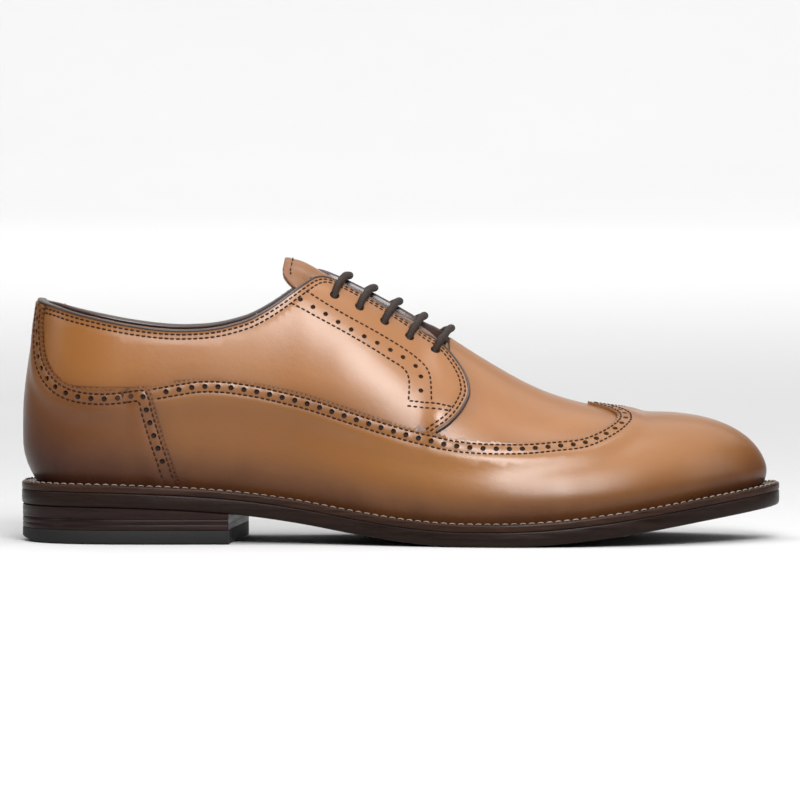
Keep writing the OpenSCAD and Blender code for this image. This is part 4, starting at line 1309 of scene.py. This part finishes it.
TONGUE_SEAM_X = -43.0
TONGUE_SEAM_HALF = 13.2
tongue_parts = [
    tongue_sheet("tongue_leather_piece", 0.0, 1.5, TONGUE_M),
    tongue_sheet("tongue_lining_piece", 1.55, 2.6, LINING_M, 0.35),
]
seam_y = np.linspace(-1, 1, 400) * TONGUE_SEAM_HALF
path = tongue_point(np.full(400, TONGUE_SEAM_X), seam_y, 0.0)
s_end = np.concatenate([[0], np.cumsum(np.linalg.norm(np.diff(path, axis=0), axis=1))])
marks = np.arange(1.2, s_end[-1] - 1, 2.5)
centre = np.stack([np.interp(marks, s_end, path[:, k]) for k in range(3)], axis=1)
along = np.gradient(centre, axis=0)
along /= np.linalg.norm(along, axis=1, keepdims=True)
yy = np.interp(marks, s_end, seam_y)
up = normals(from_plan(np.stack([np.full(len(yy), -43.0), THROAT_Y + yy + 1.2], -1)))
cross = np.cross(up, along)
tongue_rows = [(c, t, n, b, 1.75, 0.3) for c, t, n, b in zip(centre, along, up, cross)]
tongue_parts.append(stitch_mesh("tongue_stitches", tongue_rows, THREAD_M,
                                body=None))
for obj in tongue_parts:
    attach(obj, TONGUE)

# ---------------------------------------------------------------------------------------------
# Eyelets and lace
# ---------------------------------------------------------------------------------------------
for s in (LATERAL, MEDIAL):
    pts, faces = [], []
    for i in range(5):
        uv = eyelet_uv(i, s)[None]
        c, n = skin(uv)[0], normals(uv)[0]
        t = np.cross(n, [0, 1, 0])
        t /= np.linalg.norm(t)
        b = np.cross(n, t)
        loops = []
        for r, off in ((1.95, -1.9), (1.95, -2.9), (2.05, -3.2), (2.4, -3.36), (2.8, -3.36),
                       (3.15, -3.2), (3.2, -2.95), (2.9, -2.75), (2.15, -2.7), (2.1, -1.9)):
            k = np.arange(28) * 2 * math.pi / 28
            loops.append(c + r * (np.cos(k)[:, None] * t + np.sin(k)[:, None] * b) + off * n)
        ring = np.array(loops).transpose(1, 0, 2)
        p, f = sweep(ring, closed_rows=True)
        base = sum(len(q) for q in pts)
        pts.append(p)
        faces += [tuple(j + base for j in face) for face in f]
    make("eyelet_rings_" + both(s), np.vstack(pts), faces, BRASS_M, sharp=50)

LACE_D, LACE_UNDER, LACE_OVER = 3.0, -5.1, 2.1
BAR_LEAN = [[-11, 2], [-6, 3.2], [0, 4.4], [6, 5], [11, 4.3]]


def over(x, y, off):
    return lift(from_plan([[x, y]]), np.array([off]))[0]


def at(a, phi, side, off):
    return lift(np.array([[a, side * (90 - phi)]], float), np.array([off]))[0]


def bar_off(i):
    return LACE_OVER + (1.4 if i == 0 else 0)


def dive(i, s, out):
    x, y = eyelet_x(i), EYELET_Y
    steps = [over(x - 0.6, THROAT_Y + s * (y + 2.6), LACE_UNDER),
             over(x, THROAT_Y + s * y, -1.4),
             over(x + (2.6 if s == MEDIAL else 0.6), THROAT_Y + s * (y - 2.6), bar_off(i))]
    return steps if out else steps[::-1]


def bar(i, s):
    top = [over(eyelet_x(i) + float(curve(BAR_LEAN, s * y)), THROAT_Y + s * y, bar_off(i))
           for y in (11, 6, 0, -6, -11)]
    return dive(i, s, True) + top + dive(i, -s, False)


def under(i, j, s, lane):
    k = 0.45 if j > i else -0.45
    return [over(eyelet_x(m), THROAT_Y + s * (EYELET_Y + lane), LACE_UNDER)
            for m in (i + k, (i + j) / 2, j - k)]


def tail(s):
    down = [at(-31, 52, s, -5.3), at(-37, 40, s, -5.3), at(-43, 29, s, -5.4),
            at(-50, 20, s, -6), at(-58, 14, s, -8)]
    sock = [[-70, 15], [-84, 10.5], [-98, 9], [-110, 11], [-120, 9]]
    return down + [np.array([x, s * y, float(seat(x)) + INSOLE_T + 1.1 + LACE_D / 2 + 0.25])
                   for x, y in sock]


lace_path = (tail(MEDIAL)[::-1] + bar(3, MEDIAL) + under(3, 1, LATERAL, 10) + bar(1, LATERAL)
             + under(1, 0, MEDIAL, 3.4) + bar(0, MEDIAL) + under(0, 2, LATERAL, 6.6)
             + bar(2, LATERAL) + under(2, 4, MEDIAL, 6.6) + bar(4, MEDIAL) + tail(LATERAL))
route = smooth(np.array(lace_path), 0.75)
kernel = np.array([1, 2, 3, 2, 1]) / 9
inner = np.stack([np.convolve(route[:, k], kernel, "valid") for k in range(3)], axis=1)
route = np.vstack([route[:2], inner, route[-2:]])
pts, faces = tube(route, LACE_D / 2, 20)
gone = np.concatenate([[0], np.cumsum(np.linalg.norm(np.diff(route, axis=0), axis=1))])
make("lace_cord", pts, faces, LACE_M, sharp=80, attrs={
    "along": np.repeat(gone, 20),
    "around": np.tile(np.abs(np.arange(20) - 10) * 2 * math.pi / 20, len(route))})
for end, nxt, key in ((route[0], route[3], "start"), (route[-1], route[-4], "end")):
    d = (end - nxt) / np.linalg.norm(end - nxt)
    line = [end + d * (0.05 + 18 * k) for k in (0, 0.02, 0.3, 0.95, 1.0)]
    p, f = tube(line, [1.15, 1.3, 1.3, 1.3, 1.0], 18)
    make("aglet_" + key, p, f, AGLET_M, sharp=40)

# ---------------------------------------------------------------------------------------------
# Bottom
# ---------------------------------------------------------------------------------------------
def around(fn, step=2.0):
    """Closed loop of plan points: fn(a, side) along the lateral side and back on the medial."""
    rim = np.concatenate([np.linspace(A_HEEL, HEEL_CAP_X, 60, endpoint=False),
                          np.arange(HEEL_CAP_X, TOE_CAP_X, step),
                          np.linspace(TOE_CAP_X, A_TOE, 80)])
    lat, med = fn(rim, LATERAL), fn(rim, MEDIAL)
    return np.vstack([lat, med[::-1][1:-1]])


def edge_loop(m):
    return around(lambda a, s: edge_xy(a, s, m))


def feather_xy(a, side, m):
    side = np.broadcast_to(np.asarray(side), np.shape(a))
    p = skin_of(a, np.zeros_like(a), side)
    dx, dy = outward(a, side)
    return np.stack([p[..., 0] + dx * m, p[..., 1] + dy * m], axis=-1)


def feather_loop(m):
    return around(lambda a, s: feather_xy(a, s, m))


def on_seat(loop, dz):
    return np.column_stack([loop, seat(loop[:, 0]) + dz])


# Welt: a ring from under the feather edge to the sole's edge
loops = [on_seat(feather_loop(-2.8), -0.02), on_seat(feather_loop(0.4), 0.0),
         on_seat(edge_loop(-2.0), 0.0), on_seat(edge_loop(-0.75), -0.02),
         on_seat(edge_loop(-0.25), -0.16), on_seat(edge_loop(-0.02), -0.5),
         on_seat(edge_loop(0.0), -1.1), on_seat(edge_loop(0.0), -2.3),
         on_seat(edge_loop(-0.1), -2.75), on_seat(edge_loop(-0.35), -2.98),
         on_seat(edge_loop(-1.5), -3.0), on_seat(feather_loop(-2.8), -3.0)]
pts, faces = sweep(np.array(loops).transpose(1, 0, 2), closed_rows=True)
make("welt_strip", pts, [f[::-1] for f in faces], WELT_M, sharp=45)

# Welt stitches in a shallow channel near the edge
channel = on_seat(edge_loop(-1.45), 0.16)
channel = np.vstack([channel, channel[:1]])
s_len = np.concatenate([[0], np.cumsum(np.linalg.norm(np.diff(channel, axis=0), axis=1))])
count = int(s_len[-1] / 3.5)
marks = (np.arange(count) + 0.5) * s_len[-1] / count
centre = np.stack([np.interp(marks, s_len, channel[:, k]) for k in range(3)], axis=1)
ahead = np.stack([np.interp(marks + 0.6, s_len, channel[:, k]) for k in range(3)], axis=1)
along = (ahead - centre) / np.linalg.norm(ahead - centre, axis=1, keepdims=True)
up = np.tile([0, 0, 1.0], (count, 1))
cross = np.cross(up, along)
stitch_mesh("welt_stitches", [(c, t, n, b, 2.7, 0.42) for c, t, n, b
                              in zip(centre, along, up, cross)], WELT_THREAD_M)


def capped(name, loops, material, top_z, bottom_z, sharp=40, step=5.0):
    """Solid from loops of equal length, closed with gridded caps top and bottom."""
    n = len(loops[0])
    pts = [np.vstack(loops)]
    faces = []
    for i in range(len(loops) - 1):
        for j in range(n):
            k = (j + 1) % n
            faces.append((i * n + j, i * n + k, (i + 1) * n + k, (i + 1) * n + j))
    total = len(pts[0])
    for loop, z_of, flip in ((loops[0], top_z, False), (loops[-1], bottom_z, True)):
        plan = loop[:, :2]
        lo, hi = plan.min(axis=0), plan.max(axis=0)
        g = np.stack(np.meshgrid(np.arange(lo[0], hi[0], step), np.arange(lo[1], hi[1], step)),
                     -1).reshape(-1, 2)
        tree = flat_tree(plan)
        g = g[inside(plan, g)]
        g = g[[tree.find((p[0], p[1], 0))[2] > step * 0.6 for p in g]]
        v, tri = triangulate(g, [(plan, True)])
        tri = tri[inside(plan, v[tri].mean(axis=1))]
        up_way = twice_area(v, tri) > 0
        tri = np.where((up_way != flip)[:, None], tri, tri[:, ::-1])
        z = z_of(v)
        on = np.array([tree.find((p[0], p[1], 0))[1:] for p in v])
        close = on[:, 1] < 1e-4
        z[close] = loop[on[close, 0].astype(int), 2]
        pts.append(np.column_stack([v, z]))
        faces += [tuple(t + total) for t in tri]
        total += len(v)
    pts = np.vstack(pts)
    return make(name, pts, faces, material, sharp=sharp, merge=0.01)


SOLE_TOP, SOLE_BOTTOM = -WELT_T - 0.05, -WELT_T - SOLE_T
sole_profile = [(-1.2, SOLE_TOP), (-0.4, SOLE_TOP - 0.03), (-0.12, SOLE_TOP - 0.25),
                (0.0, SOLE_TOP - 0.6), (0.02, -6.2), (-0.02, -7.6), (-0.25, -8.4),
                (-0.7, -8.8), (-1.3, SOLE_BOTTOM)]
loops = [on_seat(edge_loop(m), dz) for m, dz in sole_profile]
capped("outsole_leather", [l[::-1] for l in loops], SOLE_M,
       lambda v: seat(v[:, 0]) + SOLE_TOP, lambda v: seat(v[:, 0]) + SOLE_BOTTOM)

BREAST = [[-34.5, -68.6], [-33, -68.5], [-20, -67.6], [-5, -66], [10, -64.2], [25, -62],
          [33, -61.2], [36, -61]]


def heel_loop(m, grow=0.0):
    """Plan loop of the heel: the sole's edge behind the breast, and the breast."""
    sides = {}
    for s in (LATERAL, MEDIAL):
        lo = np.linspace(A_HEEL, HEEL_CAP_X, 60, endpoint=False)
        a = np.concatenate([lo, np.linspace(HEEL_CAP_X, -55, 90)])
        p = edge_xy(a, s, m)
        x_at = curve(BREAST, p[:, 1]) + grow
        over_ = np.where(p[:, 0] > x_at)[0][0]
        sides[s] = cut_at(p[:over_ + 1], x_at[over_])
    lat, med = sides[LATERAL], sides[MEDIAL]
    y = np.linspace(lat[-1, 1], med[-1, 1], 28)[1:-1]
    front = np.column_stack([curve(BREAST, y) + grow, y])
    return np.vstack([lat, front, med[::-1][:-1]])


def cut_at(p, x_end):
    """Plan points cut at x_end, spread over the same arc with a fixed count."""
    k = (x_end - p[-2, 0]) / max(1e-6, p[-1, 0] - p[-2, 0])
    p = np.vstack([p[:-1], p[-2] + (p[-1] - p[-2]) * np.clip(k, 0.01, 1)])
    s = np.concatenate([[0], np.cumsum(np.linalg.norm(np.diff(p, axis=0), axis=1))])
    t = np.linspace(0, s[-1], 120)
    return np.column_stack([np.interp(t, s, p[:, 0]), np.interp(t, s, p[:, 1])])


def level(loop, z):
    return np.column_stack([loop, np.full(len(loop), z)])


def lift_loops(z_hi, z_lo, layers, trim=0.0):
    """Wall loops of a stack of lifts with a fine line where two lifts meet."""
    out = [(-0.5, z_hi), (-0.12, z_hi - 0.08)]
    for i in range(layers):
        hi = z_hi - (z_hi - z_lo) * i / layers
        lo = z_hi - (z_hi - z_lo) * (i + 1) / layers
        out += [(0.0 - trim, hi - 0.25), (0.0 - trim, lo + 0.25)]
        if i < layers - 1:
            out.append((-0.14 - trim, lo))
    return out + [(-0.12 - trim, z_lo + 0.08), (-0.5 - trim, z_lo)]


TOP_Z = lambda v: seat(v[:, 0]) + SOLE_BOTTOM - 0.05
base = heel_loop(-0.35)
upper = [np.column_stack([heel_loop(-0.8), seat(heel_loop(-0.8)[:, 0]) + SOLE_BOTTOM - 0.05]),
         np.column_stack([base, seat(base[:, 0]) + SOLE_BOTTOM - 0.3]),
         level(base, 10.25), level(heel_loop(-0.5), 10.05), level(heel_loop(-0.9), 10.0)]
capped("heel_lift_upper_leather", [l[::-1] for l in upper], LIFT_M, TOP_Z,
       lambda v: np.full(len(v), 10.0))
lower = [level(heel_loop(-0.35 + m), z) for m, z in lift_loops(9.95, 5.65, 2)]
capped("heel_lift_lower_leather", [l[::-1] for l in lower], LIFT_M,
       lambda v: np.full(len(v), 9.95), lambda v: np.full(len(v), 5.65))
rubber = []
for m, z in ((-0.8, 5.6), (-0.4, 5.5), (-0.32, 5.2), (-0.3, 1.0), (-0.45, 0.45), (-0.9, 0.1),
             (-1.4, 0.0)):
    loop = level(heel_loop(m), z)
    rear = np.clip((-141 - loop[:, 0]) / 10, 0, 1)
    loop[:, 2] += rear**1.6 * 1.6 * (1 - z / 5.6) if z < 5.6 else 0
    rubber.append(loop)


def tread(v):
    return np.clip((-141 - v[:, 0]) / 10, 0, 1) ** 1.6 * 1.6


capped("heel_top_piece_rubber", [l[::-1] for l in rubber], RUBBER_M,
       lambda v: np.full(len(v), 5.6), tread, step=3.0)

# Sock lining
def inside_loop(h, off):
    def ring(a, s):
        side = np.full(len(a), float(s))
        heel_x = np.where(a < HEEL_CAP_X, HEEL_CAP_X + (a - HEEL_CAP_X) * 0.6, a)
        top = np.where(a < HEEL_CAP_X, curve(RIDGE, heel_x) - seat(heel_x), ridge_z(a) - seat(a))
        phi = np.degrees(np.arcsin(np.clip(h / np.maximum(top, h * 1.05), 0, 1)))
        p = skin_of(a, phi, side) + off * normal_of(a, phi, side)
        return p[:, :2]
    rim = np.concatenate([np.linspace(A_HEEL, HEEL_CAP_X, 50, endpoint=False),
                          np.arange(HEEL_CAP_X, TOE_CAP_X, 3.0),
                          np.linspace(TOE_CAP_X, 150, 40)])
    lat, med = ring(rim, LATERAL), ring(rim, MEDIAL)
    return np.vstack([lat, med[::-1][:-1]])


SOCK_HI, SOCK_LO = INSOLE_T + 1.0, INSOLE_T + 0.05
sock = [on_seat(inside_loop(4.4, -4.1), SOCK_HI), on_seat(inside_loop(4.4, -3.75), SOCK_HI - 0.2),
        on_seat(inside_loop(4.0, -3.75), SOCK_LO)]
capped("sock_sheet", [l[::-1] for l in sock], SOCK_M,
       lambda v: seat(v[:, 0]) + SOCK_HI, lambda v: seat(v[:, 0]) + SOCK_LO)

# ---------------------------------------------------------------------------------------------
# CAD solids: replaced, or kept inside with their own materials
# ---------------------------------------------------------------------------------------------
by = bpy.data.objects
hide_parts("vamp")
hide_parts("wing_cap")
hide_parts("quarter_lateral")
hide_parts("quarter_medial")
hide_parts("counter_cover")
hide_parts("topline_binding")
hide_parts("vamp_lining")
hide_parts("quarter_lining_lateral")
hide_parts("quarter_lining_medial")
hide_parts("tongue")
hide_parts("tongue_lining")
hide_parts("lace")
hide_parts("aglets")
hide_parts("welt")
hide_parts("welt_stitching")
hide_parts("outsole")
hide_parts("heel_lift_upper")
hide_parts("heel_lift_lower")
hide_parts("heel_top_piece")
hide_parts("eyelets_lateral")
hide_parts("eyelets_medial")
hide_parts("sock_lining")
to_metres(route[0]).tolist()
to_metres(route[::4]).tolist()

KEPT = {
    "vamp_interlining": TWILL_M, "interlining_lateral": TWILL_M, "interlining_medial": TWILL_M,
    "facing_stay_lateral": TWILL_M, "facing_stay_medial": TWILL_M, "toe_puff": BOARD_M,
    "heel_stiffener": BOARD_M, "insole": INSOLE_M, "insole_rib": CANVAS_M,
    "cork_filler": CORK_M, "shank": STEEL_M, "heel_nails": STEEL_M,
}
for node, material in KEPT.items():
    for place in by[node].material_slots:
        place.material = material

# ---------------------------------------------------------------------------------------------
# Studio
# ---------------------------------------------------------------------------------------------
def cyclorama():
    """Pale floor that curves up into a backdrop far behind the shoe."""
    ys = [-5, -2, 2, 4]
    rows = [(y, 0.0) for y in ys]
    rows += [(4 + 2 * math.sin(t), 2 - 2 * math.cos(t)) for t in np.linspace(0.1, math.pi / 2, 14)]
    rows += [(6, 5.0)]
    verts, faces = [], []
    for y, z in rows:
        verts += [(-6, y, z), (6, y, z)]
    for i in range(len(rows) - 1):
        faces.append((2 * i, 2 * i + 1, 2 * i + 3, 2 * i + 2))
    mesh = bpy.data.meshes.new("backdrop")
    mesh.from_pydata(verts, [], faces)
    mesh.shade_smooth()
    obj = bpy.data.objects.new("backdrop", mesh)
    bpy.context.scene.collection.objects.link(obj)
    mesh.materials.append(matte("backdrop_paper", (0.52, 0.52, 0.52), (0.51, 0.51, 0.51), 40,
                                0.9, 0.0))
    return obj


def softbox(name, at_, to, size, power, colour=(1, 1, 1)):
    data = bpy.data.lights.new(name, "AREA")
    data.shape = "RECTANGLE"
    data.size, data.size_y = size
    data.energy = power
    data.color = colour
    obj = bpy.data.objects.new(name, data)
    obj.location = at_
    obj.rotation_euler = (Vector(to) - Vector(at_)).to_track_quat("-Z", "Y").to_euler()
    bpy.context.scene.collection.objects.link(obj)
    return obj


cyclorama()
softbox("key", (0.18, -1.0, 0.74), (0.03, -0.02, 0.06), (0.50, 0.52), 19)
softbox("top", (0.0, -0.1, 1.25), (0, 0, 0.06), (0.9, 0.4), 4)
softbox("side_right", (1.3, -0.3, 0.6), (0, 0, 0.06), (0.5, 0.7), 3.5)
softbox("side_left", (-1.2, -0.3, 0.7), (0, 0, 0.06), (0.5, 0.7), 2.5)
softbox("room", (0, 0.5, 3.4), (0, 0.5, 0), (8.0, 7.0), 262)
softbox("backdrop_light", (0, 2.6, 3.0), (0, 5.8, 0.3), (6.0, 1.0), 205)
world = bpy.data.worlds.new("studio")
world.use_nodes = True
world.node_tree.nodes["Background"].inputs["Color"].default_value = (1, 1, 1, 1)
world.node_tree.nodes["Background"].inputs["Strength"].default_value = 0.06
bpy.context.scene.world = world

bpy.context.scene.view_settings.view_transform = "Standard"
lens = bpy.data.cameras.new("camera")
lens.sensor_width = 36
FAR_AWAY, TILT, WIDE = 4.0, math.radians(2.9), 0.320
lens.lens = 36 * FAR_AWAY / WIDE
lens.clip_end = 50
camera = bpy.data.objects.new("camera", lens)
aim = Vector((-0.0004, 0, 0.0559))
camera.location = aim + Vector((0, -FAR_AWAY * math.cos(TILT), FAR_AWAY * math.sin(TILT)))
camera.rotation_euler = (aim - camera.location).to_track_quat("-Z", "Y").to_euler()
bpy.context.scene.collection.objects.link(camera)
bpy.context.scene.camera = camera
